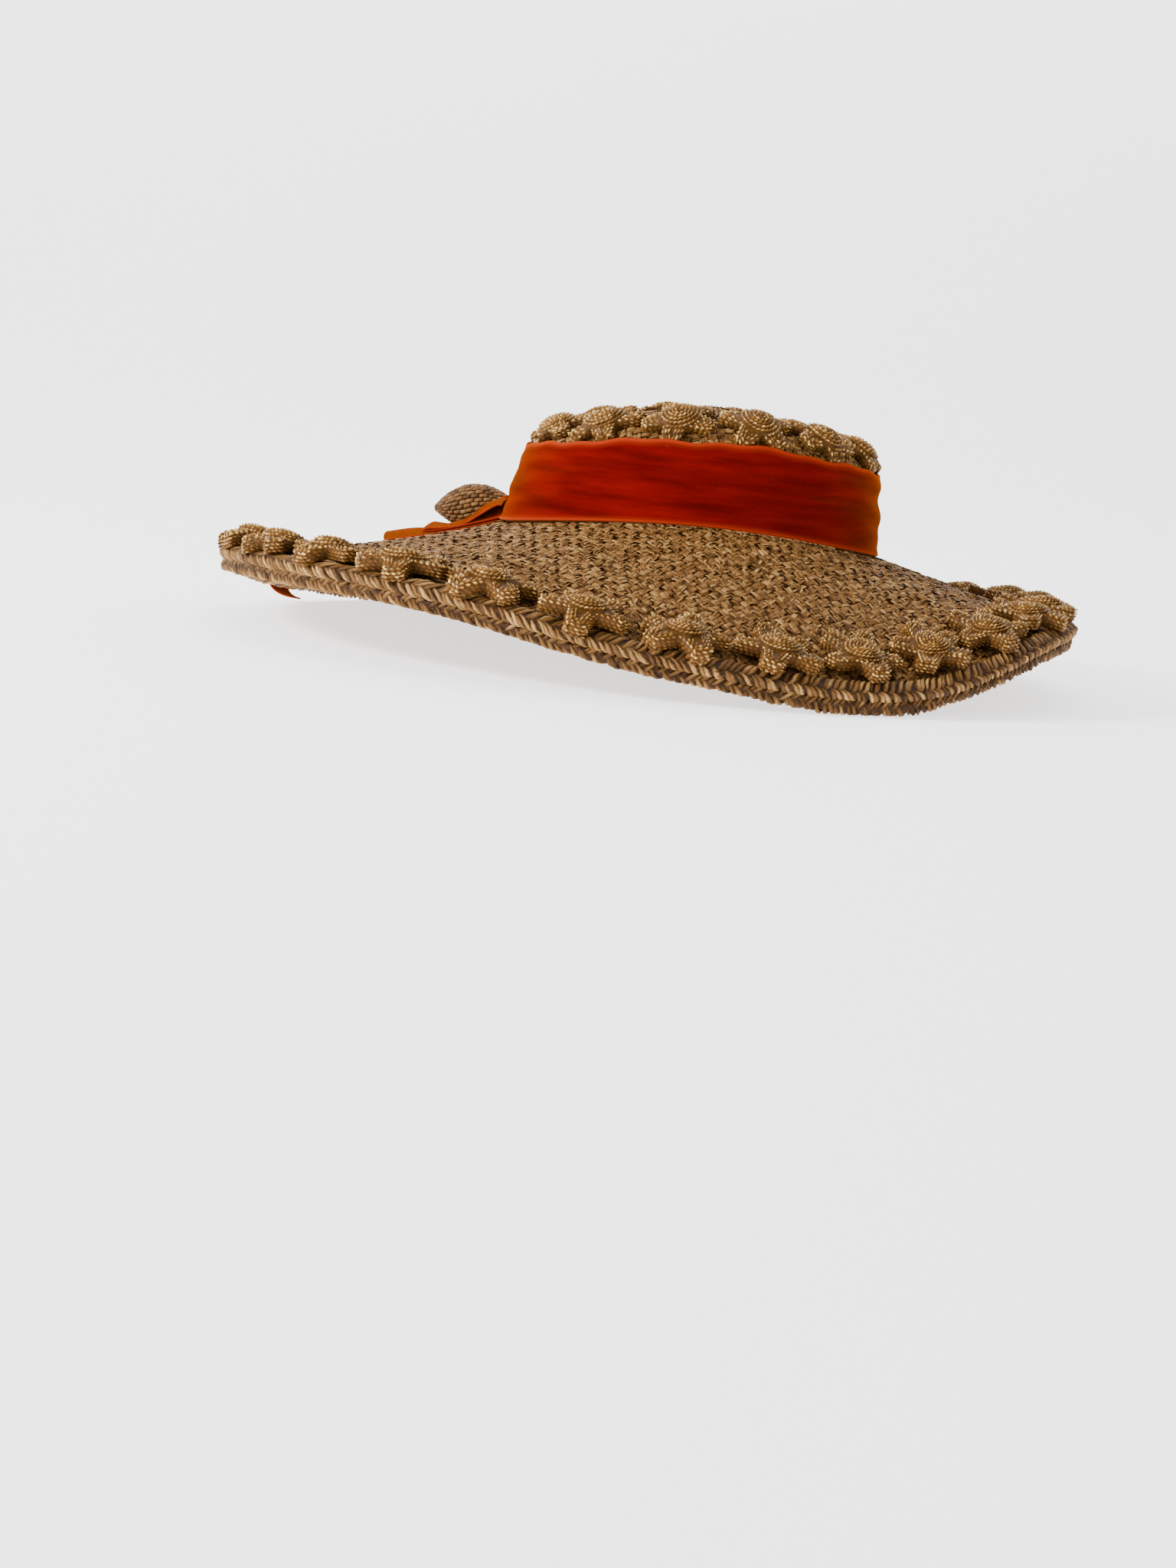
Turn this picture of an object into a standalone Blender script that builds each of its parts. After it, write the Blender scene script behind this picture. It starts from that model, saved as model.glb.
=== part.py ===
"""A wide-brimmed straw hat with a plaited edge, a velvet ribbon with a bow, a plaited pod and straw stars.

Metres, +Z up. The hat stands on z = 0 with its front towards -X. The origin is under the middle of the brim.
A bearing is an angle in degrees round the hat: 0 is the back (+X), 90 is +Y, 180 the front and 270 is -Y.
"""
import math

import bmesh
import bpy
from mathutils import Vector

# Driving sizes
BRIM_LENGTH = 0.462          # over the edge plaits, front to back
BRIM_WIDTH = 0.428
CROWN_BACK = 0.019           # the crown's middle lies this far behind the brim's middle
HEAD_HALF_LENGTH = 0.101     # outside of the crown where it meets the brim
HEAD_HALF_WIDTH = 0.085
HEAD_LINE = 0.0741           # height of the brim's top at the head line, at the sides
HEAD_DIP = 0.0105            # the head line is this much lower at the front and back
STRAW_CROWN = 0.0024         # thickness of the woven crown
STRAW_BRIM = 0.0020
VELVET = 0.0012
GAP = 0.0004                 # space between pieces that touch

# Edge plaits: one row above the brim's edge and one below
PLAIT_HALF_WIDTH = 0.0055
PLAIT_HALF_HEIGHT = 0.0026
PLAIT_FLAT = 0.0034          # half width of the plait's flat top and bottom
PLAIT_PRESS = 0.0019         # where the hat stands, what is lower than this is pressed flat on the table
SHEET_INSET = 0.003          # the brim's sheet ends this far inside the plaits' outer edge

# Stars: a domed centre and five arms
STAR_ARMS = 5
BRIM_STAR_COUNT = 27
BRIM_STAR_PLACES = 28        # the tail of the ribbon takes one place
BRIM_STAR_FIRST = 167.0      # bearing of the first star, just in front of the tail
BRIM_STAR_SIZE = {
    "tip": 0.0215, "arm": 0.0043, "valley": 0.0122, "dome": 0.0125, "wall": 0.0058, "rise": 0.0046,
}
CLIMB_FROM = 0.0275          # a star leaves the brim this far from the plaits' outer edge,
CLIMB_SLOPE = 0.36           # climbs towards the plait
CLIMB_HEIGHT = 0.0059        # and lies flat on the plait from this height
CROWN_STAR_COUNT = 12
CROWN_STAR_FIRST = 15.0
CROWN_STAR_ABOVE_BAND = 0.0150
CROWN_STAR_SIZE = {
    "tip": 0.0190, "arm": 0.0038, "valley": 0.0106, "dome": 0.0110, "wall": 0.0060, "rise": 0.0044,
}
STAR_GAP = 0.0006
TUCK = 0.70                  # crown stars are shortened towards the band, which covers their lower arms

# Ribbon
BAND_HEIGHT = 0.0418
SEGMENTS_CROWN = 40
SEGMENTS_BRIM = 64

# The brim's edge: height of its top above the table, how far the brim sags between the head line and the
# edge, and the distance from the plaits' outer edge to a star's middle
EDGE_COLUMNS = ("bearing", "height", "sag", "star_inset")
EDGE_ROWS = (
    (0, 0.0345, 0.000, 0.0225),
    (30, 0.0285, 0.000, 0.0225),
    (60, 0.0100, -0.001, 0.0225),
    (90, 0.0070, -0.002, 0.0225),
    (120, 0.0070, 0.000, 0.0225),
    (150, 0.0138, 0.002, 0.0225),
    (180, 0.0310, 0.003, 0.0205),
    (210, 0.0370, 0.002, 0.0190),
    (240, 0.0357, 0.000, 0.0185),
    (270, 0.0170, -0.002, 0.0195),
    (300, 0.0088, -0.002, 0.0285),
    (330, 0.0326, 0.000, 0.0245),
)

# The crown's outer face, from the head line up: reach from the crown's middle, and height, at the front, the
# back and the sides
CROWN_COLUMNS = ("front", "back", "side", "front_height", "back_height", "side_height")
CROWN_ROWS = (
    (0.1010, 0.1010, 0.0850, 0.0647, 0.0647, 0.0752),
    (0.0980, 0.1005, 0.0842, 0.0740, 0.0740, 0.0842),
    (0.0945, 0.0990, 0.0830, 0.0890, 0.0890, 0.0960),
    (0.0905, 0.0975, 0.0815, 0.1005, 0.1015, 0.1090),
    (0.0860, 0.0935, 0.0790, 0.1070, 0.1095, 0.1170),
    (0.0770, 0.0865, 0.0735, 0.1127, 0.1152, 0.1232),
    (0.0640, 0.0750, 0.0640, 0.1178, 0.1208, 0.1278),
    (0.0440, 0.0580, 0.0460, 0.1240, 0.1272, 0.1315),
    (0.0200, 0.0300, 0.0220, 0.1310, 0.1325, 0.1343),
)
CROWN_TIP = (0.005, 0.1350)  # distance behind the crown's middle, and height
BAND_TOP_ROW = 4

# The band's outer face, from its lower edge up: share of its height, and distance from the crown's wall
BAND_ROWS = (
    (0.00, 0.0026),
    (0.18, 0.0018),
    (0.42, 0.0027),
    (0.70, 0.0024),
    (1.00, 0.0023),
)

# Ribbon pieces on the brim, a row for each section: distance out from the head line, bearing of the middle,
# width, and height of the underside above the brim at the two edges
BOW_END_ROWS = (
    (0.0060, 169.0, 0.026, 0.0009, 0.0009),
    (0.0250, 170.0, 0.028, 0.0009, 0.0009),
    (0.0410, 170.7, 0.029, 0.0010, 0.0014),
    (0.0530, 171.3, 0.030, 0.0012, 0.0040),
    (0.0642, 172.0, 0.030, 0.0014, 0.0052),
)
BOW_LOOP_ROWS = (
    (0.0060, 168.0, 0.028, 0.0026, 0.0026),
    (0.0220, 169.0, 0.030, 0.0026, 0.0026),
    (0.0380, 170.0, 0.031, 0.0030, 0.0036),
    (0.0435, 170.3, 0.031, 0.0046, 0.0060),
    (0.0410, 170.2, 0.031, 0.0068, 0.0092),
    (0.0310, 169.6, 0.031, 0.0056, 0.0076),
    (0.0200, 169.0, 0.030, 0.0058, 0.0074),
    (0.0120, 168.5, 0.029, 0.0094, 0.0108),
    (0.0050, 168.0, 0.028, 0.0108, 0.0124),
)
TAIL_ROWS = (
    (0.0060, 140.0, 0.034, 0.0009, 0.0009),
    (0.0350, 143.0, 0.036, 0.0009, 0.0009),
    (0.0700, 147.0, 0.034, 0.0011, 0.0010),
    (0.1000, 150.0, 0.031, 0.0013, 0.0013),
)
# The tail where it climbs over the plaits and hangs down outside them: distance past their outer edge,
# bearing of the middle, width, and height of the underside above the brim's top
TAIL_END_ROWS = (
    (-0.0230, 150.8, 0.029, 0.0013),
    (-0.0120, 151.6, 0.027, 0.0068),
    (-0.0015, 152.3, 0.025, 0.0070),
    (0.0014, 152.6, 0.022, 0.0044),
    (0.0028, 152.8, 0.019, -0.0010),
    (0.0024, 152.8, 0.014, -0.0060),
    (-0.0003, 152.0, 0.009, -0.0098),
    (-0.0033, 150.6, 0.003, -0.0118),
)

# Plaited pod: an almond beside the bow
POD_LENGTH = 0.050
POD_RADIUS = 0.0125
POD_MIDDLE_OUT = 0.026
POD_BEARING = 153.5
POD_LIFT = 0.0134
POD_NOSE_UP = 13.0           # degrees that its outer end points above the brim's own slope
POD_SIDES = 10


def blend(low, high, share):
    return low + (high - low) * share


def through(before, start, end, after, share):
    """A smooth curve from start to end that leaves and arrives in line with its neighbours."""
    return start + 0.5 * share * (
        end - before
        + share * (2 * before - 5 * start + 4 * end - after + share * (3 * (start - end) + after - before))
    )


def edge_value(bearing, column):
    """A column of the edge table at any bearing."""
    step = EDGE_ROWS[1][0] - EDGE_ROWS[0][0]
    place = (bearing % 360.0) / step
    row = int(place)
    values = [EDGE_ROWS[(row + k) % len(EDGE_ROWS)][EDGE_COLUMNS.index(column)] for k in (-1, 0, 1, 2)]
    return through(*values, place - row)


def head_line(bearing):
    return HEAD_LINE - HEAD_DIP * math.cos(math.radians(bearing)) ** 2


def brim_top(bearing, share):
    """A point of the brim's top: share is 0 at the head line and 1 at the edge of its sheet."""
    turn = math.radians(bearing)
    half_length = BRIM_LENGTH / 2 - SHEET_INSET
    half_width = BRIM_WIDTH / 2 - SHEET_INSET
    x = blend(CROWN_BACK + HEAD_HALF_LENGTH * math.cos(turn), half_length * math.cos(turn), share)
    y = blend(HEAD_HALF_WIDTH, half_width, share) * math.sin(turn)
    inside = min(max(share, 0.0), 1.0)
    sag = edge_value(bearing, "sag") * math.sin(math.pi * inside ** 0.75)
    z = blend(head_line(bearing), edge_value(bearing, "height"), max(share, 0.0)) - sag
    return Vector((x, y, z))


def brim_frame(bearing, share):
    """The point, the way out along the surface, the way round, and the normal."""
    step = 0.002
    point = brim_top(bearing, share)
    low = max(share - step, 0.0)
    out = (brim_top(bearing, low + 2 * step) - brim_top(bearing, low)).normalized()
    round_way = (brim_top(bearing + 0.1, share) - brim_top(bearing - 0.1, share)).normalized()
    normal = out.cross(round_way).normalized()
    return point, out, round_way, normal


def brim_depth(bearing):
    """Length of the brim's sheet from the head line to its edge."""
    return (brim_top(bearing, 1.0) - brim_top(bearing, 0.0)).length


def crown_face(bearing, level):
    """A point of the crown's outer face: level is a row number of the crown's table, with fractions."""
    turn = math.radians(bearing)
    last = len(CROWN_ROWS) - 1
    row = min(int(level), last - 1)
    picks = [CROWN_ROWS[min(max(row + k, 0), last)] for k in (-1, 0, 1, 2)]
    front, back, side, front_z, back_z, side_z = (
        through(*(pick[column] for pick in picks), level - row) for column in range(len(CROWN_COLUMNS))
    )
    middle = (back - front) / 2
    half_length = (back + front) / 2
    x = CROWN_BACK + middle + half_length * math.cos(turn)
    y = side * math.sin(turn)
    end_z = blend(front_z, back_z, (1 + math.cos(turn)) / 2)
    z = blend(side_z, end_z, math.cos(turn) ** 2)
    return Vector((x, y, z))


def crown_frame(bearing, level):
    point = crown_face(bearing, level)
    up = (crown_face(bearing, level + 0.05) - crown_face(bearing, level - 0.05)).normalized()
    round_way = (crown_face(bearing + 0.5, level) - crown_face(bearing - 0.5, level)).normalized()
    return point, up, round_way, round_way.cross(up).normalized()


def crown_level(bearing, start, length):
    """The level reached by walking a length up the crown's face from a level, or down it if negative."""
    step = 0.02 if length > 0 else -0.02
    walked = 0.0
    level = start
    while walked < abs(length):
        walked += (crown_face(bearing, level + step) - crown_face(bearing, level)).length
        level += step
    return level


def material(name, colour, roughness):
    made = bpy.data.materials.new(name)
    made.use_nodes = True
    shader = made.node_tree.nodes["Principled BSDF"]
    shader.inputs["Base Color"].default_value = (*colour, 1.0)
    shader.inputs["Roughness"].default_value = roughness
    shader.inputs["Metallic"].default_value = 0.0
    made.diffuse_color = (*colour, 1.0)
    return made


def add_object(name, mesh, finish):
    mesh.materials.append(finish)
    piece = bpy.data.objects.new(name, mesh)
    hat.objects.link(piece)
    return piece


def sheet_mesh(name, rows, closed, tip=None):
    """A smooth open surface through rows of points, closed round or not, with an optional tip point."""
    build = bmesh.new()
    rings = [[build.verts.new(point) for point in row] for row in rows]
    count = len(rings[0])
    for lower, upper in zip(rings, rings[1:]):
        for k in range(count if closed else count - 1):
            after = (k + 1) % count
            build.faces.new((lower[k], lower[after], upper[after], upper[k]))
    if tip is not None:
        top = build.verts.new(tip)
        for k in range(count):
            build.faces.new((rings[-1][k], rings[-1][(k + 1) % count], top))
    mesh = bpy.data.meshes.new(name)
    build.to_mesh(mesh)
    build.free()
    mesh.shade_smooth()
    return mesh


def thicken(piece, thickness, offset):
    solid = piece.modifiers.new("thickness", "SOLIDIFY")
    solid.thickness = thickness
    solid.offset = offset
    solid.use_even_offset = True


def solid_mesh(name, rings, start=None, end=None):
    """A closed skin through rings of points: end points close it, and without them it joins up."""
    build = bmesh.new()
    loops = [[build.verts.new(point) for point in ring] for ring in rings]
    count = len(loops[0])
    pairs = list(zip(loops, loops[1:]))
    if start is None:
        pairs.append((loops[-1], loops[0]))
    for lower, upper in pairs:
        for k in range(count):
            after = (k + 1) % count
            build.faces.new((lower[k], lower[after], upper[after], upper[k]))
    if start is not None:
        first = build.verts.new(start)
        last = build.verts.new(end)
        for k in range(count):
            after = (k + 1) % count
            build.faces.new((loops[0][after], loops[0][k], first))
            build.faces.new((loops[-1][k], loops[-1][after], last))
    bmesh.ops.recalc_face_normals(build, faces=build.faces)
    mesh = bpy.data.meshes.new(name)
    build.to_mesh(mesh)
    build.free()
    return mesh


def bearings(count):
    return [360.0 * k / count for k in range(count)]


def make_crown():
    rows = []
    for level in range(len(CROWN_ROWS)):
        rows.append([crown_face(bearing, level) for bearing in bearings(SEGMENTS_CROWN)])
    back, height = CROWN_TIP
    mesh = sheet_mesh("crown", rows, closed=True, tip=Vector((CROWN_BACK + back, 0.0, height)))
    thicken(add_object("crown", mesh, straw), STRAW_CROWN, -1.0)


def make_brim():
    margin = -STRAW_CROWN / 0.13
    shares = (margin, 0.0, 0.25, 0.5, 0.75, 1.0)
    rows = [[brim_top(bearing, share) for bearing in bearings(SEGMENTS_BRIM)] for share in reversed(shares)]
    thicken(add_object("brim", sheet_mesh("brim", rows, closed=True), straw), STRAW_BRIM, -1.0)


def settled(height):
    """Height of a point of the lower plait: close to the table it is pressed down and level."""
    if height > 3 * PLAIT_PRESS:
        return height
    return max(1.5 * (height - PLAIT_PRESS), 0.0)


def plait_section(bearing, side):
    """A flat-topped six-sided section of a plait: side is 1 above the brim's sheet and -1 below it."""
    inset = PLAIT_HALF_WIDTH - SHEET_INSET
    share = 1.0 - inset / brim_depth(bearing)
    point, out, _, normal = brim_frame(bearing, share)
    height = GAP + PLAIT_HALF_HEIGHT if side > 0 else -(STRAW_BRIM + GAP + PLAIT_HALF_HEIGHT)
    middle = point + normal * height
    corners = (
        (-PLAIT_HALF_WIDTH, 0.0),
        (-PLAIT_FLAT, PLAIT_HALF_HEIGHT),
        (PLAIT_FLAT, PLAIT_HALF_HEIGHT),
        (PLAIT_HALF_WIDTH, 0.0),
        (PLAIT_FLAT, -PLAIT_HALF_HEIGHT),
        (-PLAIT_FLAT, -PLAIT_HALF_HEIGHT),
    )
    ring = [middle + out * across + normal * up for across, up in corners]
    if side < 0:
        for corner in ring:
            corner.z = settled(corner.z)
    return ring


def make_plaits():
    for name, side in (("edge_plait_upper", 1), ("edge_plait_lower", -1)):
        rings = [plait_section(bearing, side) for bearing in bearings(SEGMENTS_BRIM)]
        add_object(name, solid_mesh(name, rings), plait_straw)


def make_band():
    rows = []
    for share, stand_off in BAND_ROWS:
        row = []
        for bearing in bearings(SEGMENTS_CROWN):
            level = crown_level(bearing, 0.0, BAND_HEIGHT * share) if share else 0.0
            normal = crown_frame(bearing, max(level, 0.05))[3]
            row.append(crown_face(bearing, level) + normal * stand_off)
        rows.append(row)
    thicken(add_object("velvet_band", sheet_mesh("velvet_band", rows, closed=True), velvet), VELVET, -1.0)


def on_brim(bearing, out, lift):
    """A point above the brim, by its distance out from the head line and its height over the brim's top."""
    point, _, _, normal = brim_frame(bearing, out / brim_depth(bearing))
    return point + normal * lift


def across_brim(row, share):
    """A point across a ribbon's section: share is 0 at its near edge and 1 at its far edge."""
    out, bearing, width, near_lift, far_lift = row
    half_turn = math.degrees(width / 2 / (HEAD_HALF_LENGTH + out))
    return on_brim(bearing + half_turn * (1 - 2 * share), out, blend(near_lift, far_lift, share))


def past_edge(row, share):
    """The same for a section of the tail's end."""
    past, bearing, width, lift = row
    half_turn = math.degrees(width / 2 / (BRIM_LENGTH / 2))
    place = bearing + half_turn * (1 - 2 * share)
    return on_brim(place, brim_depth(place) + SHEET_INSET + past, lift)


def make_ribbon(name, rows, end_rows=()):
    shares = (0.0, 0.25, 0.5, 0.75, 1.0)
    sections = [[across_brim(row, share) for share in shares] for row in rows]
    sections += [[past_edge(row, share) for share in shares] for row in end_rows]
    piece = add_object(name, sheet_mesh(name, sections, closed=False), velvet)
    thicken(piece, VELVET, 1.0)


def star_outline(size, turn):
    """The corners of a star, arm by arm: a flat tip and the valley after it."""
    corners = []
    for arm in range(STAR_ARMS):
        middle = turn + 2 * math.pi * arm / STAR_ARMS
        spread = math.atan2(size["arm"], size["tip"])
        reach = math.hypot(size["arm"], size["tip"])
        valley = middle + math.pi / STAR_ARMS
        corners.append((reach * math.cos(middle - spread), reach * math.sin(middle - spread)))
        corners.append((reach * math.cos(middle + spread), reach * math.sin(middle + spread)))
        corners.append((size["valley"] * math.cos(valley), size["valley"] * math.sin(valley)))
    return corners


def star_mesh(name, size, turn, place):
    """A star whose flat shape is laid on a curved surface by place(along, outward, height)."""
    outline = star_outline(size, turn)
    circle = [Vector(corner).normalized() for corner in outline]
    rings = [[place(*(spoke * size["valley"] * 0.92), 0.0) for spoke in circle]]
    rings.append([place(*corner, 0.0) for corner in outline])
    rings.append([place(corner[0] * 0.95, corner[1] * 0.95, size["wall"]) for corner in outline])
    for across, up in ((0.86, 0.35), (0.48, 0.84)):
        height = size["wall"] + size["rise"] * up
        rings.append([place(*(spoke * size["dome"] * across), height) for spoke in circle])
    top = place(0.0, 0.0, size["wall"] + size["rise"])
    return solid_mesh(name, rings, start=place(0.0, 0.0, 0.0), end=top)


def brim_star_bearings():
    """Bearings of the stars' middles, at even steps along the edge."""
    half_length = BRIM_LENGTH / 2 - CLIMB_FROM
    half_width = BRIM_WIDTH / 2 - CLIMB_FROM
    fine = 0.25
    walked = [0.0]
    for k in range(int(360 / fine)):
        turn = math.radians(BRIM_STAR_FIRST + (k + 0.5) * fine)
        step = math.hypot(half_length * math.sin(turn), half_width * math.cos(turn)) * math.radians(fine)
        walked.append(walked[-1] + step)
    pitch = walked[-1] / BRIM_STAR_PLACES
    found = []
    for star in range(BRIM_STAR_COUNT):
        k = next(k for k, length in enumerate(walked) if length >= star * pitch)
        found.append(BRIM_STAR_FIRST + k * fine)
    return found


def make_brim_stars():
    for number, bearing in enumerate(brim_star_bearings(), start=1):
        depth = brim_depth(bearing)
        inset = edge_value(bearing, "star_inset")
        share = 1.0 - (inset - SHEET_INSET) / depth
        step = (brim_top(bearing + 0.5, share) - brim_top(bearing - 0.5, share)).length

        def place(along, outward, height, bearing=bearing, depth=depth, inset=inset, share=share, step=step):
            point, _, _, normal = brim_frame(bearing + along / step, share + outward / depth)
            climb = CLIMB_SLOPE * (CLIMB_FROM - inset + outward)
            lift = STAR_GAP + min(max(climb, 0.0), CLIMB_HEIGHT)
            return point + normal * (lift + height)

        turn = math.radians(47.0 * number)
        mesh = star_mesh("brim_star_mesh", BRIM_STAR_SIZE, turn, place)
        add_object(f"brim_star_{number:02d}", mesh, star_straw)


def crown_star_bearings():
    """Bearings of the stars' middles, at even steps round the crown's shoulder."""
    fine = 0.5
    level = BAND_TOP_ROW + 1.6
    walked = [0.0]
    for k in range(int(360 / fine)):
        low = crown_face(CROWN_STAR_FIRST + k * fine, level)
        walked.append(walked[-1] + (crown_face(CROWN_STAR_FIRST + (k + 1) * fine, level) - low).length)
    pitch = walked[-1] / CROWN_STAR_COUNT
    found = []
    for star in range(CROWN_STAR_COUNT):
        k = next(k for k, length in enumerate(walked) if length >= star * pitch)
        found.append(CROWN_STAR_FIRST + k * fine)
    return found


def make_crown_stars():
    for number, bearing in enumerate(crown_star_bearings(), start=1):
        band_top = crown_level(bearing, 0.0, BAND_HEIGHT)

        def place(along, outward, height, bearing=bearing, band_top=band_top):
            down = outward * TUCK if outward > 0 else outward
            level = crown_level(bearing, band_top, CROWN_STAR_ABOVE_BAND - down)
            step = (crown_face(bearing + 0.5, level) - crown_face(bearing - 0.5, level)).length
            point, _, _, normal = crown_frame(bearing + along / step, level)
            return point + normal * (STAR_GAP + height)

        # Every second star has a valley towards the band instead of an arm, so neighbours' arms interlock
        turn = math.radians(-90.0 + 36.0 * (number % 2))
        mesh = star_mesh("crown_star_mesh", CROWN_STAR_SIZE, turn, place)
        add_object(f"crown_star_{number:02d}", mesh, star_straw)


def make_pod():
    """An almond turned on its long axis, then laid beside the bow."""
    build = bmesh.new()
    points = 9
    line = []
    for k in range(points):
        share = k / (points - 1)
        radius = POD_RADIUS * math.sin(math.pi * share) ** 0.75 if 0 < k < points - 1 else 0.0
        line.append(build.verts.new((radius, 0.0, POD_LENGTH * (0.5 - share))))
    for low, high in zip(line, line[1:]):
        build.edges.new((low, high))
    mesh = bpy.data.meshes.new("straw_pod")
    build.to_mesh(mesh)
    build.free()
    mesh.shade_smooth()
    piece = add_object("straw_pod", mesh, pod_straw)
    screw = piece.modifiers.new("turned", "SCREW")
    screw.steps = POD_SIDES
    screw.render_steps = POD_SIDES
    screw.use_merge_vertices = True
    screw.merge_threshold = 0.0001
    share = POD_MIDDLE_OUT / brim_depth(POD_BEARING)
    point, out, _, normal = brim_frame(POD_BEARING, share)
    tilt = math.radians(POD_NOSE_UP)
    axis = out * math.cos(tilt) + normal * math.sin(tilt)
    piece.location = point + normal * POD_LIFT
    piece.rotation_mode = "QUATERNION"
    piece.rotation_quaternion = axis.to_track_quat("Z", "Y")


for leftover in list(bpy.data.objects):
    bpy.data.objects.remove(leftover, do_unlink=True)
hat = bpy.data.collections.new("straw_hat")
bpy.context.scene.collection.children.link(hat)

straw = material("woven_straw", (0.38, 0.21, 0.09), 0.75)
plait_straw = material("plaited_straw", (0.42, 0.25, 0.11), 0.70)
star_straw = material("star_braid", (0.50, 0.31, 0.13), 0.65)
velvet = material("velvet_ribbon", (0.48, 0.05, 0.01), 0.85)
pod_straw = material("pod_straw", (0.26, 0.15, 0.07), 0.70)

make_crown()
make_brim()
make_plaits()
make_band()
make_ribbon("bow_end", BOW_END_ROWS)
make_ribbon("bow_loop", BOW_LOOP_ROWS)
make_ribbon("ribbon_tail", TAIL_ROWS, TAIL_END_ROWS)
make_pod()
make_brim_stars()
make_crown_stars()
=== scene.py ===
# %% [markdown]
# # A wide-brimmed straw hat with velvet ribbon and straw stars
#
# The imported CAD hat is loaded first, as a fixed frame. Each of its plain solids is then replaced by a piece full
# of detail that lies in the same place: woven straws, plaits, stars of stitched cord, velvet and a plaited pod.
# The units are metres. +Z is up, the front is towards -X, and the side nearest to the camera is towards -Y.
# A bearing is an angle in degrees round the hat: 0 is the back (+X), 90 is +Y, 180 the front and 270 is -Y.

# %% Load the frame
import math

import bpy
import numpy as np
from mathutils import Matrix, Vector


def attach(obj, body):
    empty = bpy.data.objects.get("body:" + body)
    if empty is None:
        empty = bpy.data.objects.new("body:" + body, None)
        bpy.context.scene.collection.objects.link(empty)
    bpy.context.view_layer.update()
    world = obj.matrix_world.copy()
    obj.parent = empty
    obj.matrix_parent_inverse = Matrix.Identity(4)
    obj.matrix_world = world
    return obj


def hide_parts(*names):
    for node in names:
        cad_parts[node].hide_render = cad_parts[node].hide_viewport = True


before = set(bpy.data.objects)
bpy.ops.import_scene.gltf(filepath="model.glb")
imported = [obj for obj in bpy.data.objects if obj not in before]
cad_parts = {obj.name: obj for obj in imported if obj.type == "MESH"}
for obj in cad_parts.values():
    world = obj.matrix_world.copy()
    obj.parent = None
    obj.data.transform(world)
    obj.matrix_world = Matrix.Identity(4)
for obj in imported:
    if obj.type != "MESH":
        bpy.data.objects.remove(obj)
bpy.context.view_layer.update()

# %% [markdown]
# ## Driving sizes
#
# The CAD model has a few values that several pieces share, such as the brim's length and the head's opening. A
# scene could measure them from the solids' meshes, but a value that is written down once is easier to follow,
# so they stand here as the CAD model has them. Values that only one piece needs come with that piece.

# %% Driving sizes
BRIM_LENGTH = 0.462
BRIM_WIDTH = 0.428
CROWN_BACK = 0.019
HEAD_HALF_LENGTH = 0.101
HEAD_HALF_WIDTH = 0.085
HEAD_LINE = 0.0741
HEAD_DIP = 0.0105
SHEET_INSET = 0.003

print("brim:", BRIM_LENGTH, "by", BRIM_WIDTH, "m, head opening:", 2 * HEAD_HALF_LENGTH, "by", 2 * HEAD_HALF_WIDTH)

# %% [markdown]
# ## Curves
#
# Brim, crown and ribbons are smooth surfaces with no corner anywhere. Blender's own curves could be bent along
# them, but tens of thousands of straws would then need as many calls. Here each function takes whole arrays of
# places. `through` is a Catmull-Rom curve: it passes through every row of a table.


# %% Curves
def through(before, start, end, after, share):
    """A smooth curve from start to end that leaves and arrives in line with its neighbours."""
    return start + 0.5 * share * (
        end - before
        + share * (2 * before - 5 * start + 4 * end - after + share * (3 * (start - end) + after - before))
    )


def unit(vectors):
    return vectors / np.maximum(np.linalg.norm(vectors, axis=-1, keepdims=True), 1e-12)


def walked_along(line):
    """The length walked along a line up to each of its points."""
    return np.concatenate([[0.0], np.cumsum(np.linalg.norm(np.diff(line, axis=0), axis=1))])


print("halfway from 1 to 3 on a curve:", through(0.0, 1.0, 3.0, 4.0, 0.5))

# %% [markdown]
# ## The brim's surface
#
# The real brim is a long soft wave that droops at the sides. It could be sculpted, but then the plaits and
# stars would have to be fitted to it by eye. A formula lets every piece ask where the brim is: a place is a
# bearing and a share of the way out, and the edge's heights come from a row at every 30 degrees.

# %% Brim surface
EDGE_COLUMNS = ("bearing", "height", "sag", "star_inset")
EDGE_ROWS = np.array((
    (0, 0.0345, 0.000, 0.0225),
    (30, 0.0285, 0.000, 0.0225),
    (60, 0.0100, -0.001, 0.0225),
    (90, 0.0070, -0.002, 0.0225),
    (120, 0.0070, 0.000, 0.0225),
    (150, 0.0138, 0.002, 0.0225),
    (180, 0.0310, 0.003, 0.0205),
    (210, 0.0370, 0.002, 0.0190),
    (240, 0.0357, 0.000, 0.0185),
    (270, 0.0170, -0.002, 0.0195),
    (300, 0.0088, -0.002, 0.0285),
    (330, 0.0326, 0.000, 0.0245),
))


def edge_value(bearing, column):
    """A value of the brim's edge at a bearing."""
    table = EDGE_ROWS[:, EDGE_COLUMNS.index(column)]
    place = np.mod(bearing, 360.0) / 30.0
    row = np.floor(place).astype(int)
    values = [table[(row + k) % len(table)] for k in (-1, 0, 1, 2)]
    return through(*values, place - row)


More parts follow.
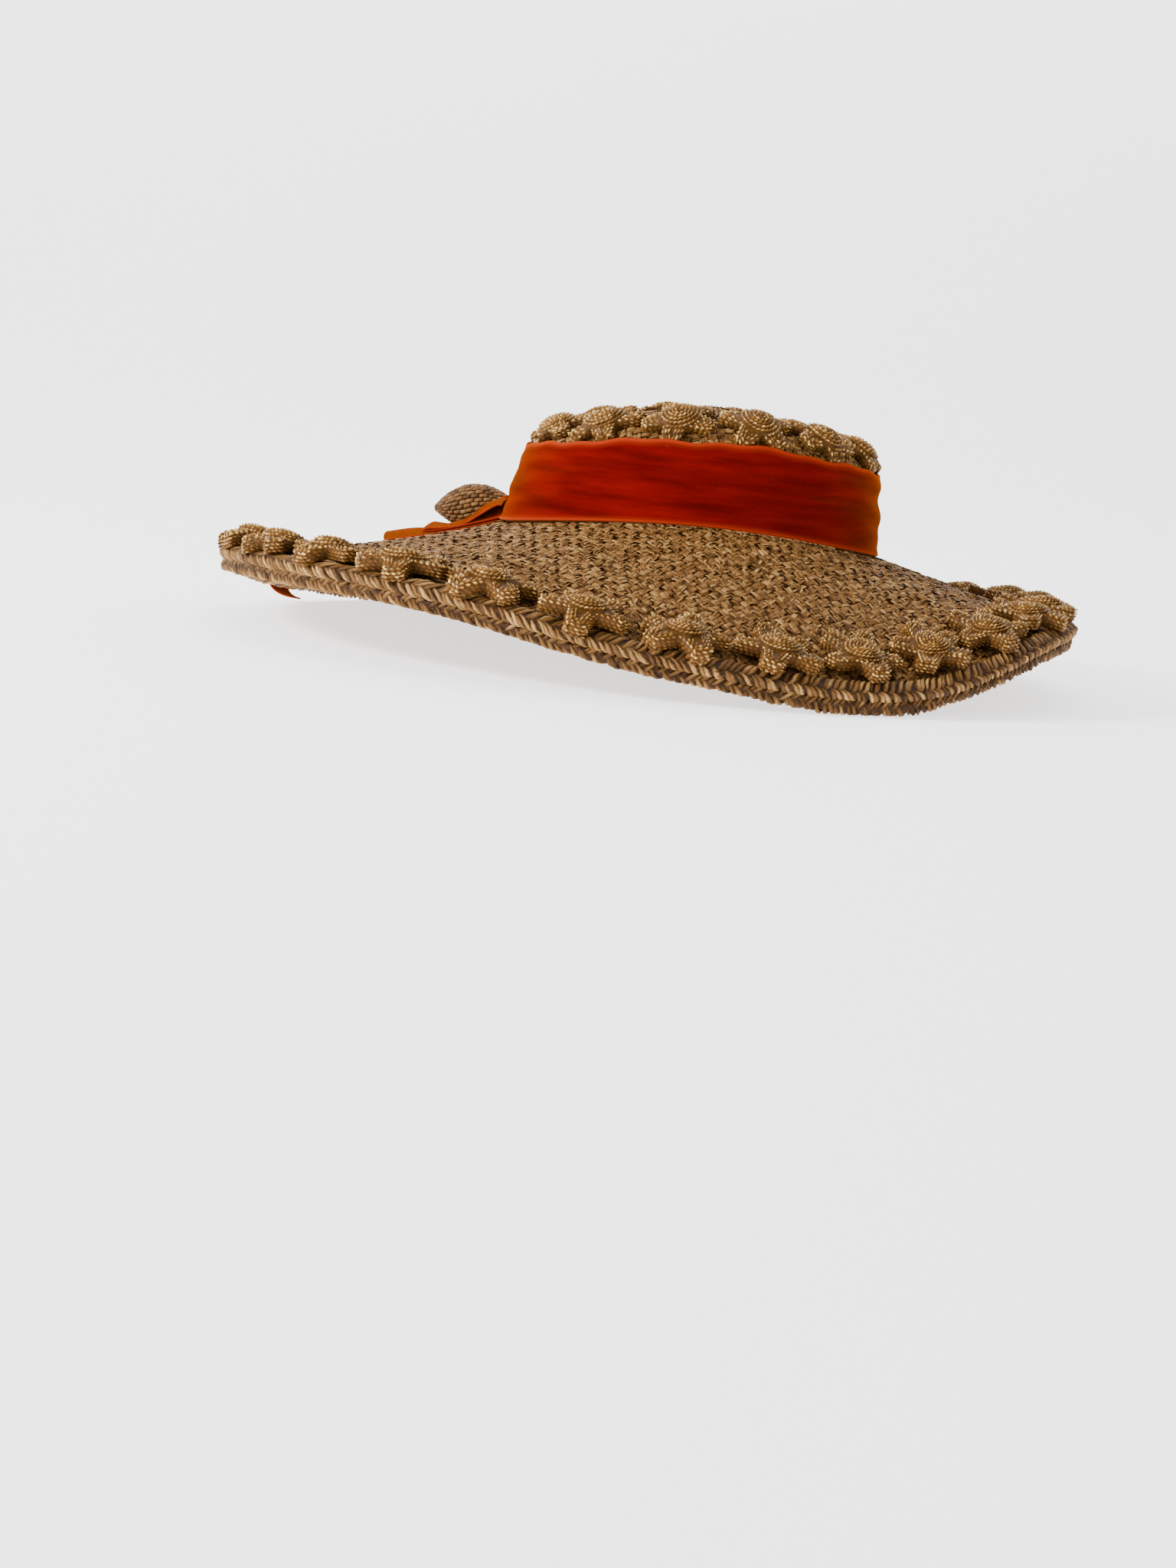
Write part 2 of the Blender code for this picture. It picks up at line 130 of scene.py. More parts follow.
def brim_top(bearing, share):
    """Points of the brim's top: share is 0 at the head line and 1 at the edge of its sheet."""
    bearing, share = np.broadcast_arrays(np.asarray(bearing, float), np.asarray(share, float))
    turn = np.radians(bearing)
    half_length = BRIM_LENGTH / 2 - SHEET_INSET
    half_width = BRIM_WIDTH / 2 - SHEET_INSET
    head = CROWN_BACK + HEAD_HALF_LENGTH * np.cos(turn)
    x = head + (half_length * np.cos(turn) - head) * share
    y = (HEAD_HALF_WIDTH + (half_width - HEAD_HALF_WIDTH) * share) * np.sin(turn)
    inside = np.clip(share, 0.0, 1.0)
    sag = edge_value(bearing, "sag") * np.sin(math.pi * inside ** 0.75)
    head_line = HEAD_LINE - HEAD_DIP * np.cos(turn) ** 2
    z = head_line + (edge_value(bearing, "height") - head_line) * np.maximum(share, 0.0) - sag
    return np.stack([x, y, z], -1)


def brim_frame(bearing, share):
    """The point, the way out along the surface, the way round, and the normal."""
    step = 0.002
    low = np.maximum(share - step, 0.0)
    out = unit(brim_top(bearing, low + 2 * step) - brim_top(bearing, low))
    round_way = unit(brim_top(bearing + 0.1, share) - brim_top(bearing - 0.1, share))
    return brim_top(bearing, share), out, round_way, unit(np.cross(out, round_way))


def over_brim(bearing, share, lift):
    """Points at a height over the brim's top."""
    point, _, _, normal = brim_frame(bearing, share)
    return point + normal * np.asarray(lift)[..., None]


def brim_depth(bearing):
    """The length from the head line to the edge of the brim's sheet."""
    return np.linalg.norm(brim_top(bearing, 1.0) - brim_top(bearing, 0.0), axis=-1)


def brim_plan(x, y):
    """The bearing and share of the brim's point that lies above a point of the table."""
    low = np.full(np.shape(x), -0.06)
    high = np.full(np.shape(x), 1.06)
    for _ in range(26):
        share = (low + high) / 2
        length = HEAD_HALF_LENGTH + (BRIM_LENGTH / 2 - SHEET_INSET - HEAD_HALF_LENGTH) * share
        width = HEAD_HALF_WIDTH + (BRIM_WIDTH / 2 - SHEET_INSET - HEAD_HALF_WIDTH) * share
        across = (x - CROWN_BACK * (1 - share)) / length
        outside = across ** 2 + (y / width) ** 2 > 1.0
        low = np.where(outside, share, low)
        high = np.where(outside, high, share)
    return np.degrees(np.arctan2(y / width, across)), share


print("brim edge heights:", np.round(brim_top(np.arange(0, 360, 60.0), 1.0)[:, 2], 4))

# %% [markdown]
# ## The crown's surface
#
# The real crown is low and oval with a rounded shoulder. It could be lathed, but its front, back and sides
# differ, so each row of a table gives the reach and height of all three. A place is a bearing and a level, a
# row of that table, and a second table turns lengths up the crown's face into levels.

# %% Crown surface
# Front, back and side reach from the crown's middle, and height at the front, back and sides
CROWN_ROWS = np.array((
    (0.1010, 0.1010, 0.0850, 0.0647, 0.0647, 0.0752),
    (0.0980, 0.1005, 0.0842, 0.0740, 0.0740, 0.0842),
    (0.0945, 0.0990, 0.0830, 0.0890, 0.0890, 0.0960),
    (0.0905, 0.0975, 0.0815, 0.1005, 0.1015, 0.1090),
    (0.0860, 0.0935, 0.0790, 0.1070, 0.1095, 0.1170),
    (0.0770, 0.0865, 0.0735, 0.1127, 0.1152, 0.1232),
    (0.0640, 0.0750, 0.0640, 0.1178, 0.1208, 0.1278),
    (0.0440, 0.0580, 0.0460, 0.1240, 0.1272, 0.1315),
    (0.0200, 0.0300, 0.0220, 0.1310, 0.1325, 0.1343),
))
CROWN_TIP = (0.005, 0.1350)
CROWN_TOP_ROW = len(CROWN_ROWS) - 1


def crown_face(bearing, level):
    """Points of the crown's outer face; past the last row they close on the tip."""
    bearing, level = np.broadcast_arrays(np.asarray(bearing, float), np.asarray(level, float))
    turn = np.radians(bearing)
    inside = np.clip(level, 0.0, CROWN_TOP_ROW)
    row = np.minimum(inside.astype(int), CROWN_TOP_ROW - 1)
    picks = [CROWN_ROWS[np.clip(row + k, 0, CROWN_TOP_ROW)] for k in (-1, 0, 1, 2)]
    values = through(*picks, (inside - row)[..., None])
    front, back, side, front_z, back_z, side_z = np.moveaxis(values, -1, 0)
    x = CROWN_BACK + (back - front) / 2 + (back + front) / 2 * np.cos(turn)
    y = side * np.sin(turn)
    end_z = front_z + (back_z - front_z) * (1 + np.cos(turn)) / 2
    z = side_z + (end_z - side_z) * np.cos(turn) ** 2
    beyond = np.clip(level - CROWN_TOP_ROW, 0.0, 1.0)
    x = x + (CROWN_BACK + CROWN_TIP[0] - x) * beyond
    y = y * (1 - beyond)
    z = z + (CROWN_TIP[1] - z) * (1 - (1 - beyond) ** 2)
    return np.stack([x, y, z], -1)


def crown_frame(bearing, level):
    """The point, the way up, the way round, and the normal."""
    up = unit(crown_face(bearing, level + 0.05) - crown_face(bearing, level - 0.05))
    round_way = unit(crown_face(bearing + 0.5, level) - crown_face(bearing - 0.5, level))
    return crown_face(bearing, level), up, round_way, unit(np.cross(round_way, up))


def over_crown(bearing, level, lift):
    """Points at a height over the crown's face."""
    point, _, _, normal = crown_frame(bearing, level)
    return point + normal * np.asarray(lift)[..., None]


# Levels by length walked up the crown's face: a row for each bearing and a column for each step
WALK_STEP = 0.0005
WALK_REACH = 0.24
WALK_TURN = 3.0
walk_bearings = np.arange(0, 360, WALK_TURN)
fine_levels = np.linspace(0.0, CROWN_TOP_ROW + 1, 400)
walk_table = []
walk_tops = []
for walk_bearing in walk_bearings:
    line = crown_face(walk_bearing, fine_levels)
    walked = walked_along(line)
    walk_table.append(np.interp(np.arange(0, WALK_REACH, WALK_STEP), walked, fine_levels))
    walk_tops.append(walked[-1])
walk_table = np.array(walk_table)
walk_tops = np.array(walk_tops)


def crown_level(bearing, length):
    """The crown's level at a length up its face from the head line."""
    place = np.mod(bearing, 360.0) / WALK_TURN
    row = np.floor(place).astype(int) % len(walk_bearings)
    column = np.clip(np.asarray(length) / WALK_STEP, 0, walk_table.shape[1] - 2)
    low = column.astype(int)
    part = column - low
    values = []
    for pick in (row, (row + 1) % len(walk_bearings)):
        values.append(walk_table[pick, low] * (1 - part) + walk_table[pick, low + 1] * part)
    return values[0] + (values[1] - values[0]) * (place - np.floor(place))


def crown_top_length(bearing):
    """The length from the head line up to the crown's tip."""
    place = np.mod(bearing, 360.0) / WALK_TURN
    return np.interp(place, np.arange(len(walk_tops) + 1), np.append(walk_tops, walk_tops[0]))


print("crown's face from head line to tip:", round(float(walk_tops.mean()), 4))

# %% [markdown]
# ## Camera
#
# The photograph was taken from the hat's left side, a little above the brim and slightly towards the front,
# with a long lens. The camera could be placed by hand, but four named angles are easier to put right. It stands
# 1.3 m away and leans 5.8 degrees, because the hat in the photograph slopes down towards its back.

# %% Camera
IMAGE_SIZE = (1536, 2048)
FOCAL_PIXELS = 3107.0
SENSOR = 36.0
LOOK_AT = Vector((CROWN_BACK, 0.0, 0.0695))
LOOK_AT_PIXEL = (900.0, 690.0)
CAMERA_DISTANCE = 1.3
CAMERA_RISE = math.radians(3.0)
CAMERA_SWING = math.radians(5.0)
CAMERA_ROLL = math.radians(5.8)

away = Vector((
    -math.sin(CAMERA_SWING) * math.cos(CAMERA_RISE),
    -math.cos(CAMERA_SWING) * math.cos(CAMERA_RISE),
    math.sin(CAMERA_RISE),
))
look = -away
right = look.cross(Vector((0, 0, 1))).normalized()
up = right.cross(look)
rolled_right = math.cos(CAMERA_ROLL) * right + math.sin(CAMERA_ROLL) * up
rolled_up = -math.sin(CAMERA_ROLL) * right + math.cos(CAMERA_ROLL) * up
# The middle of the picture looks past the hat: turn the camera until the hat falls where the photograph has it
offset = Vector((
    (LOOK_AT_PIXEL[0] - IMAGE_SIZE[0] / 2) / FOCAL_PIXELS,
    -(LOOK_AT_PIXEL[1] - IMAGE_SIZE[1] / 2) / FOCAL_PIXELS,
    1.0,
)).normalized()
to_middle = offset.rotation_difference(Vector((0, 0, 1)))


def add_object(name, data):
    """A new object in the scene."""
    made = bpy.data.objects.new(name, data)
    bpy.context.scene.collection.objects.link(made)
    return made


camera_data = bpy.data.cameras.new("camera")
camera_data.lens = SENSOR * FOCAL_PIXELS / IMAGE_SIZE[1]
camera_data.sensor_width = SENSOR
camera_data.clip_end = 60.0
camera_data.dof.use_dof = False
camera = add_object("camera", camera_data)
stand = LOOK_AT + away * CAMERA_DISTANCE
facing = Matrix((rolled_right, rolled_up, look)).transposed() @ to_middle.to_matrix()
camera.matrix_world = Matrix.Translation(stand) @ (facing @ Matrix.Diagonal((1, 1, -1))).to_4x4()
bpy.context.scene.camera = camera
print("camera at", [round(v, 3) for v in stand])

# %% [markdown]
# ## Floor, backdrop and light
#
# The real hat was photographed in front of white paper in soft light. A plane and a wall would show a line
# where they meet, so one sheet runs up in a wide bend. The pale sky alone would make the weave look flat: the
# key lamp high on the left gives it shadows, a weaker one fills from low on the camera's side, and a third
# lights the top.

# %% Floor and light
FLOOR_FRONT = -4.0
FLOOR_DEPTH = 2.2
FLOOR_BEND = 0.9
FLOOR_HALF_WIDTH = 5.0
WALL_HEIGHT = 3.0
BEND_STEPS = 16
PAPER_TONE = 0.93
PAPER_GLOW = 1.55
SKY_STRENGTH = 0.65


def shader_of(finish):
    return finish.node_tree.nodes["Principled BSDF"]


def set_inputs(node, values):
    """Sets inputs of a node, by name or number."""
    for socket, value in values.items():
        node.inputs[socket].default_value = value
    return node


def add_node(finish, kind, values=None):
    """A new node of a finish, with the values of its inputs."""
    return set_inputs(finish.node_tree.nodes.new("ShaderNode" + kind), values or {})


def wire(finish, *links):
    """Links nodes of a finish: a link is a node, its output, the next node and its input."""
    for start, out, end, into in links:
        finish.node_tree.links.new(start.outputs[out], end.inputs[into])


def add_relief(finish, noise, values):
    """Fine relief on a finish that follows a noise."""
    bump = add_node(finish, "Bump", values)
    wire(finish, (noise, "Fac", bump, "Height"), (bump, "Normal", shader_of(finish), "Normal"))


paper = bpy.data.materials.new("paper")
paper.use_nodes = True
set_inputs(shader_of(paper), {
    "Base Color": (PAPER_TONE, PAPER_TONE, PAPER_TONE, 1.0),
    "Roughness": 0.9,
    "Emission Color": (1.0, 1.0, 1.0, 1.0),
    "Emission Strength": PAPER_GLOW,
})
add_relief(paper, add_node(paper, "TexNoise", {"Scale": 900.0}), {"Strength": 0.02})

side_profile = [(FLOOR_FRONT, 0.0), (FLOOR_DEPTH - FLOOR_BEND, 0.0)]
for k in range(1, BEND_STEPS + 1):
    turn = math.pi / 2 * k / BEND_STEPS
    side_profile.append((
        FLOOR_DEPTH - FLOOR_BEND + FLOOR_BEND * math.sin(turn),
        FLOOR_BEND * (1 - math.cos(turn)),
    ))
side_profile.append((FLOOR_DEPTH, WALL_HEIGHT))
sweep_points = [(x, y, z) for y, z in side_profile for x in (-FLOOR_HALF_WIDTH, FLOOR_HALF_WIDTH)]
sweep_faces = [(2 * k, 2 * k + 1, 2 * k + 3, 2 * k + 2) for k in range(len(side_profile) - 1)]
sweep_mesh = bpy.data.meshes.new("backdrop")
sweep_mesh.from_pydata(sweep_points, [], sweep_faces)
sweep_mesh.materials.append(paper)
sweep_mesh.shade_smooth()
backdrop = add_object("backdrop", sweep_mesh)

world = bpy.data.worlds.new("sky")
world.use_nodes = True
set_inputs(world.node_tree.nodes["Background"], {"Color": (1.0, 1.0, 1.0, 1.0), "Strength": SKY_STRENGTH})
bpy.context.scene.world = world

# Name, place, aim, size and watts
LAMPS = (
    ("key_lamp", (-2.1, -0.85, 1.25), (0.0, 0.0, 0.05), 0.6, 100.0),
    ("low_lamp", (-0.9, -1.7, 0.30), (0.0, 0.0, 0.02), 1.8, 14.0),
    ("top_lamp", (0.1, 0.5, 1.9), (0.0, 0.0, 0.05), 1.6, 14.0),
)
for lamp_name, lamp_place, lamp_aim, lamp_size, watts in LAMPS:
    lamp_data = bpy.data.lights.new(lamp_name, "AREA")
    lamp_data.shape = "DISK"
    lamp_data.size = lamp_size
    lamp_data.energy = watts
    lamp = add_object(lamp_name, lamp_data)
    lamp.location = lamp_place
    beam = Vector(lamp_aim) - Vector(lamp_place)
    lamp.rotation_euler = beam.to_track_quat("-Z", "Y").to_euler()
print("lamps:", len(LAMPS), "points of the backdrop:", len(sweep_points))

# %% [markdown]
# ## Finishes
#
# Real straw varies from strand to strand and has fine fibres. One material for each straw would be far too
# many, so the mesh carries a tone from 0 to 1 for each straw, and the finish turns it into a colour and adds
# blotches. The tone also carries painted shade, low at the straws' ends and edges and on the dark sheets and
# cores in the gaps, and a painted highlight, high in the middle of each star's stitch. Velvet is deep red with
# darker patches of nap under an orange sheen, which brightens the cloth where it turns away, as the real pile
# does. Its tone is above 0 along the pale selvedge.

# %% Straw and velvet
FIBRE_RELIEF = {"Strength": 0.35, "Distance": 0.0003}
ROUGHNESS_SPREAD = 0.12
# Place on the ramp and colour
VELVET_REDS = ((0.3, (0.078, 0.0002, 0.0001, 1.0)), (0.72, (0.168, 0.0012, 0.0003, 1.0)))
SELVEDGE_RED = (0.33, 0.030, 0.008, 1.0)
NAP_STRETCH = (0.45, 0.45, 3.2)


def new_finish(name):
    """A finish, with nodes for a mesh's own tone and for the places on it."""
    finish = bpy.data.materials.new(name)
    finish.use_nodes = True
    tone = add_node(finish, "Attribute")
    tone.attribute_name = "tone"
    return finish, tone, add_node(finish, "TexCoord")


def vary_roughness(finish, noise, low, high):
    """Roughness between two values, as a noise has it."""
    rough = add_node(finish, "MapRange", {"To Min": low, "To Max": high})
    wire(finish, (noise, "Fac", rough, "Value"), (rough, "Result", shader_of(finish), "Roughness"))


def straw_finish(name, dark, middle, light, roughness, gloss, blotches):
    """Straw: dark, middle and light are its colours from the deepest straw and painted shade to the palest straw
    and painted highlights.
    """
    finish, tone, where = new_finish(name)
    blotch = add_node(finish, "TexNoise", {"Scale": 360.0, "Detail": 4.0, "Roughness": 0.70})
    fibre = add_node(finish, "TexNoise", {"Scale": 1500.0, "Detail": 2.0})
    mottle = add_node(finish, "Math", {1: blotches, 2: -blotches / 2})
    mottle.operation = "MULTIPLY_ADD"
    mixed = add_node(finish, "Math")
    mixed.operation = "ADD"
    mixed.use_clamp = True
    ramp = add_node(finish, "ValToRGB")
    ramp.color_ramp.elements[0].color = (*dark, 1.0)
    ramp.color_ramp.elements[1].color = (*light, 1.0)
    ramp.color_ramp.elements.new(0.5).color = (*middle, 1.0)
    wire(
        finish,
        (where, "Object", blotch, "Vector"),
        (where, "Object", fibre, "Vector"),
        (blotch, "Fac", mottle, 0),
        (tone, "Fac", mixed, 0),
        (mottle, "Value", mixed, 1),
        (mixed, "Value", ramp, "Fac"),
        (ramp, "Color", shader_of(finish), "Base Color"),
    )
    vary_roughness(finish, fibre, roughness - ROUGHNESS_SPREAD, roughness + ROUGHNESS_SPREAD)
    add_relief(finish, fibre, FIBRE_RELIEF)
    set_inputs(shader_of(finish), {"Specular IOR Level": gloss})
    return finish


def velvet_finish(name):
    """Velvet: the nap's noise is stretched level, and tone 1 is the pale selvedge."""
    finish, tone, where = new_finish(name)
    stretch = add_node(finish, "Mapping", {"Scale": NAP_STRETCH})
    nap = add_node(finish, "TexNoise", {"Scale": 60.0, "Detail": 5.0})
    pile = add_node(finish, "TexNoise", {"Scale": 2600.0})
    reds = add_node(finish, "ValToRGB")
    for stop, (place, colour) in zip(reds.color_ramp.elements, VELVET_REDS):
        stop.position = place
        stop.color = colour
    edge = add_node(finish, "Mix", {7: SELVEDGE_RED})
    edge.data_type = "RGBA"
    wire(
        finish,
        (where, "Object", stretch, "Vector"),
        (stretch, "Vector", nap, "Vector"),
        (where, "Object", pile, "Vector"),
        (nap, "Fac", reds, "Fac"),
        (tone, "Fac", edge, 0),
        (reds, "Color", edge, 6),
        (edge, 2, shader_of(finish), "Base Color"),
    )
    vary_roughness(finish, nap, 0.72, 0.95)
    add_relief(finish, pile, FIBRE_RELIEF)
    set_inputs(shader_of(finish), {
        "Sheen Weight": 0.38,
        "Sheen Roughness": 0.38,
        "Sheen Tint": (1.0, 0.35, 0.03, 1.0),
        "Specular IOR Level": 0.0,
    })
    return finish


print("nap stretched by", NAP_STRETCH)

# %% [markdown]
# ## The five finishes
#
# The brim and crown of the real hat are a dull brown straw with strong blotches. Its plaits are a little
# glossier, the stars the most golden, and the pod's flat straws the darkest. One recipe with other numbers
# serves all four, so that they still look like the same kind of straw.

# %% Five finishes
brim_straw = straw_finish(
    "brim_straw", (0.034, 0.015, 0.005), (0.180, 0.080, 0.021), (0.45, 0.255, 0.088),
    roughness=0.60, gloss=0.06, blotches=0.85,
)
plait_straw = straw_finish(
    "plait_straw", (0.020, 0.008, 0.003), (0.160, 0.074, 0.020), (0.46, 0.265, 0.092),
    roughness=0.55, gloss=0.10, blotches=0.60,
)
star_straw = straw_finish(
    "star_straw", (0.016, 0.006, 0.001), (0.208, 0.087, 0.016), (1.0, 0.64, 0.200),
    roughness=0.45, gloss=0.09, blotches=0.35,
)
pod_straw = straw_finish(
    "pod_straw", (0.014, 0.006, 0.002), (0.168, 0.075, 0.022), (0.29, 0.150, 0.054),
    roughness=0.50, gloss=0.10, blotches=0.40,
)
velvet = velvet_finish("velvet_ribbon")
print("finishes:", [finish.name for finish in (brim_straw, plait_straw, star_straw, pod_straw, velvet)])

# %% [markdown]
# ## Mesh helpers
#
# Every woven part of the hat is a great many small equal patches, each a few points wide. They could be copies
# of one object, but a flat mesh in one piece renders and exports faster, so one call makes all the faces. A
# piece rides on the hat's one body and stands for the solids that it replaces.

# %% Mesh helpers
# Random values come from this series, and the band's folds from one of their own: each run gives the same hat
rng = np.random.default_rng(7)


def patch_faces(count, rows, columns, closed=False):
    """Quads of many equal grids of points, one grid after another; closed joins each row's ends."""
    steps = np.arange(columns if closed else columns - 1)
    row, column = np.meshgrid(np.arange(rows - 1), steps, indexing="ij")
    after = (column + 1) % columns
    corners = [line * columns + place for line, place in
               ((row, column), (row + 1, column), (row + 1, after), (row, after))]
    one = np.stack(corners, -1).reshape(-1, 4)
    return (one + (np.arange(count) * rows * columns)[:, None, None]).reshape(-1, 4)


def add_piece(name, parts, finish, stands_for):
    """One object from parts, each with points, quads, and a tone for each point or for all."""
    points = []
    faces = []
    tones = []
    count = 0
    for part_points, part_faces, tone in parts:
        flat = part_points.reshape(-1, 3)
        points.append(flat)
        faces.append(part_faces + count)
        tones.append(np.broadcast_to(tone, (len(flat),)))
        count += len(flat)
    mesh = bpy.data.meshes.new(name)
    mesh.from_pydata(np.concatenate(points).tolist(), [], np.concatenate(faces).tolist())
    mesh.materials.append(finish)
    mesh.shade_smooth()
    layer = mesh.attributes.new("tone", "FLOAT", "POINT")
    layer.data.foreach_set("value", np.concatenate(tones).astype(np.float32))
    piece = add_object(name, mesh)
    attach(piece, "root")
    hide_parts(*stands_for)
    print(name, "-", sum(len(part) for part in faces), "quads")
    return piece


def scatter(amount, count):
    """A random value for each of many patches."""
    return rng.normal(0.0, amount, (count, 1, 1))


def own_tones(count, middle, spread, low, high, along, across):
    """A random tone for each of many patches, with painted shade along and across each patch."""
    own = np.clip(rng.normal(middle, spread, (count, 1, 1)), low, high)
    return (own * along[:, None] * across).ravel()


def spun(flat, turn):
    """Flat places, with or without a height, turned about the middle."""
    x = flat[..., 0] * math.cos(turn) - flat[..., 1] * math.sin(turn)
    y = flat[..., 0] * math.sin(turn) + flat[..., 1] * math.cos(turn)
    return np.concatenate([np.stack([x, y], -1), flat[..., 2:]], -1)


# %% [markdown]
# ## The straw cloth
#
# The real cloth is a coarse plain weave. A bump or an image could only paint it, and its outline would be
# smooth. So each float, the short stretch that lies on top at a crossing, is made as three flat straws side by
# side. A straw is an arch whose ends dive under the next float, and the straws are laid out on the flat first.

# %% Floats of the cloth
FLOAT_STATIONS = np.array([-1.0, -0.5, 0.5, 1.0])
FLOAT_HEIGHTS = np.array([-0.0010, 0.00040, 0.00040, -0.0010])
FLOAT_SIDES = np.array([-1.0, 1.0])
# Middle, spread and limits of the straws' tones, and their painted shade along and across: darker towards the
# ends, where they dive under the next float, and a little lighter on one side
FLOAT_TONES_AND_SHADE = (0.56, 0.17, 0.10, 0.98, np.array([0.15, 1.0, 1.0, 0.15]), np.array([0.92, 1.08]))
# Shares of the cloth's cell
STRAW_BESIDE = 0.315
STRAW_HALF_LENGTH = 0.78
STRAW_HALF_WIDTH_SHARE = 0.158


def weave_floats(reach, cell):
    """Middles of the straws of both families of floats, and the direction of each, over a square cloth."""
    count = int(reach / cell) + 2
    i, j = [grid.ravel() for grid in np.meshgrid(np.arange(-count, count + 1), np.arange(-count, count + 1))]
    middles = np.stack([j * cell, i * cell], -1) + rng.normal(0.0, cell * 0.075, (len(i), 2))
    turns = np.where((i + j) % 2 == 0, 0.0, math.pi / 2) + rng.normal(0.0, 0.19, len(i))
    beside = np.stack([-np.sin(turns), np.cos(turns)], -1) * cell * STRAW_BESIDE
    return np.concatenate([middles + beside * k for k in (-1, 0, 1)]), np.concatenate([turns] * 3)


def float_patches(middles, turns, cell):
    """Flat places and heights of the points of arched straws, each a grid of stations by sides."""
    count = len(middles)
    turns = turns + rng.normal(0.0, 0.10, count)
    half_length = cell * STRAW_HALF_LENGTH * rng.uniform(0.78, 1.22, (count, 1, 1))
    half_width = cell * STRAW_HALF_WIDTH_SHARE * rng.uniform(0.78, 1.15, (count, 1, 1))
    along = np.stack([np.cos(turns), np.sin(turns)], -1)
    across = np.stack([-np.sin(turns), np.cos(turns)], -1)
    middles = middles + rng.normal(0.0, cell * 0.035, (count, 2))
    stations = (FLOAT_STATIONS[:, None] * half_length)[..., None] * along[:, None, None]
    bend = scatter(0.00018, count) * (1 - FLOAT_STATIONS[:, None] ** 2)
    spread = FLOAT_SIDES * half_width + bend
    flat = middles[:, None, None] + stations + spread[..., None] * across[:, None, None]
    tilt = scatter(0.00017, count) * FLOAT_SIDES
    heights = FLOAT_HEIGHTS[:, None] + tilt + scatter(0.00022, count)
    return flat, heights


print("points of one float:", 3 * len(FLOAT_STATIONS) * len(FLOAT_SIDES))

# %% [markdown]
# ## The woven brim
#
# The real brim's cloth runs slantwise, at about 45 degrees. It could be pressed onto the solid by a modifier,
# but the solid's faces are large and flat. The brim's formula is exact: each point keeps its place over the
# table and is lifted onto the surface. A sheet in a dark tone, painted shade, closes the gaps between the straws,
# and a second cloth makes the underside over a still darker sheet of painted shade.

# %% Woven brim
STRAW_BRIM = 0.0020
BRIM_CELL = 0.0040
BRIM_TURN = math.radians(45.0)
BRIM_REACH = 0.34
BRIM_CLOTH_END = 0.985
# How deep the sheets behind the straws lie, and their tones: dark, as painted shade in the gaps between the straws
SHEET_DEPTH = 0.00098
SHEET_PAINTED_SHADE = 0.42
UNDER_SHEET_DEPTH = 0.00102
UNDER_SHEET_PAINTED_SHADE = 0.06

cloth_middles, cloth_turns = weave_floats(BRIM_REACH, BRIM_CELL)
cloth_middles = spun(cloth_middles, BRIM_TURN)
_, middle_share = brim_plan(cloth_middles[:, 0], cloth_middles[:, 1])
on_cloth = (middle_share > 0.0) & (middle_share < BRIM_CLOTH_END)
flat, heights = float_patches(cloth_middles[on_cloth], cloth_turns[on_cloth] + BRIM_TURN, BRIM_CELL)
bearing, share = brim_plan(flat[..., 0], flat[..., 1])
share = np.clip(share, -0.02, 1.005)
float_count = int(on_cloth.sum())

sheet_bearings = np.arange(0, 360, 2.0)
sheet_shares = np.linspace(-0.050, 1.0, 35)
sheet = np.meshgrid(sheet_bearings, sheet_shares)
sheet_faces = patch_faces(1, len(sheet_shares), len(sheet_bearings), closed=True)
for name, lift, way, depth, tone in (
    ("woven_brim", heights, 1, SHEET_DEPTH, SHEET_PAINTED_SHADE),
    ("woven_brim_underside", -(STRAW_BRIM + heights), -1, UNDER_SHEET_DEPTH, UNDER_SHEET_PAINTED_SHADE),
):
    floats = over_brim(bearing, share, lift)
    add_piece(name, [
        (floats, patch_faces(float_count, 4, 2)[:, ::way], own_tones(float_count, *FLOAT_TONES_AND_SHADE)),
        (over_brim(*sheet, -depth), sheet_faces[:, ::way], tone),
    ], brim_straw, ["brim"])

# %% [markdown]
# ## The woven crown
#
# On the real crown the same cloth runs over the tip and down the sides unbroken. Lifting it straight up would
# stretch it on the steep sides. It is laid out flat round the tip instead: a point's distance from the middle
# of the cloth is the length walked down the crown.

# %% Woven crown
BAND_HEIGHT = 0.0418
CROWN_CELL = 0.0039
CROWN_REACH = 0.24
CROWN_BELOW_BAND_TOP = 0.009
LINING_DEPTH = 0.0022
LINING_TONE = 0.45

crown_middles, crown_turns = weave_floats(CROWN_REACH, CROWN_CELL)


def crown_place(flat):
    """The crown's bearing, level and the length from the band's top for points of its flat cloth."""
    bearing = np.degrees(np.arctan2(flat[..., 1], flat[..., 0]))
    length = crown_top_length(bearing) - np.linalg.norm(flat, axis=-1)
    return bearing, crown_level(bearing, np.maximum(length, 0.0)), length - BAND_HEIGHT


_, _, above_band = crown_place(crown_middles)
on_crown = above_band > -CROWN_BELOW_BAND_TOP
flat, heights = float_patches(crown_middles[on_crown], crown_turns[on_crown], CROWN_CELL)
bearing, level, _ = crown_place(flat)
crown_count = int(on_crown.sum())

wall_bearings = np.arange(0, 360, 3.0)
wall_levels = np.append(np.linspace(0.0, CROWN_TOP_ROW, 40), CROWN_TOP_ROW + np.array([0.4, 0.8, 0.98]))
wall = np.meshgrid(wall_bearings, wall_levels)
wall_faces = patch_faces(1, len(wall_levels), len(wall_bearings), closed=True)
add_piece("woven_crown", [
    (over_crown(bearing, level, heights), patch_faces(crown_count, 4, 2), own_tones(crown_count, *FLOAT_TONES_AND_SHADE)),
    # The dark sheet behind the crown's straws is painted shade in the gaps between them
    (over_crown(*wall, -SHEET_DEPTH), wall_faces[:, ::-1], SHEET_PAINTED_SHADE),
    (over_crown(*wall, -LINING_DEPTH), wall_faces, LINING_TONE),
], brim_straw, ["crown"])

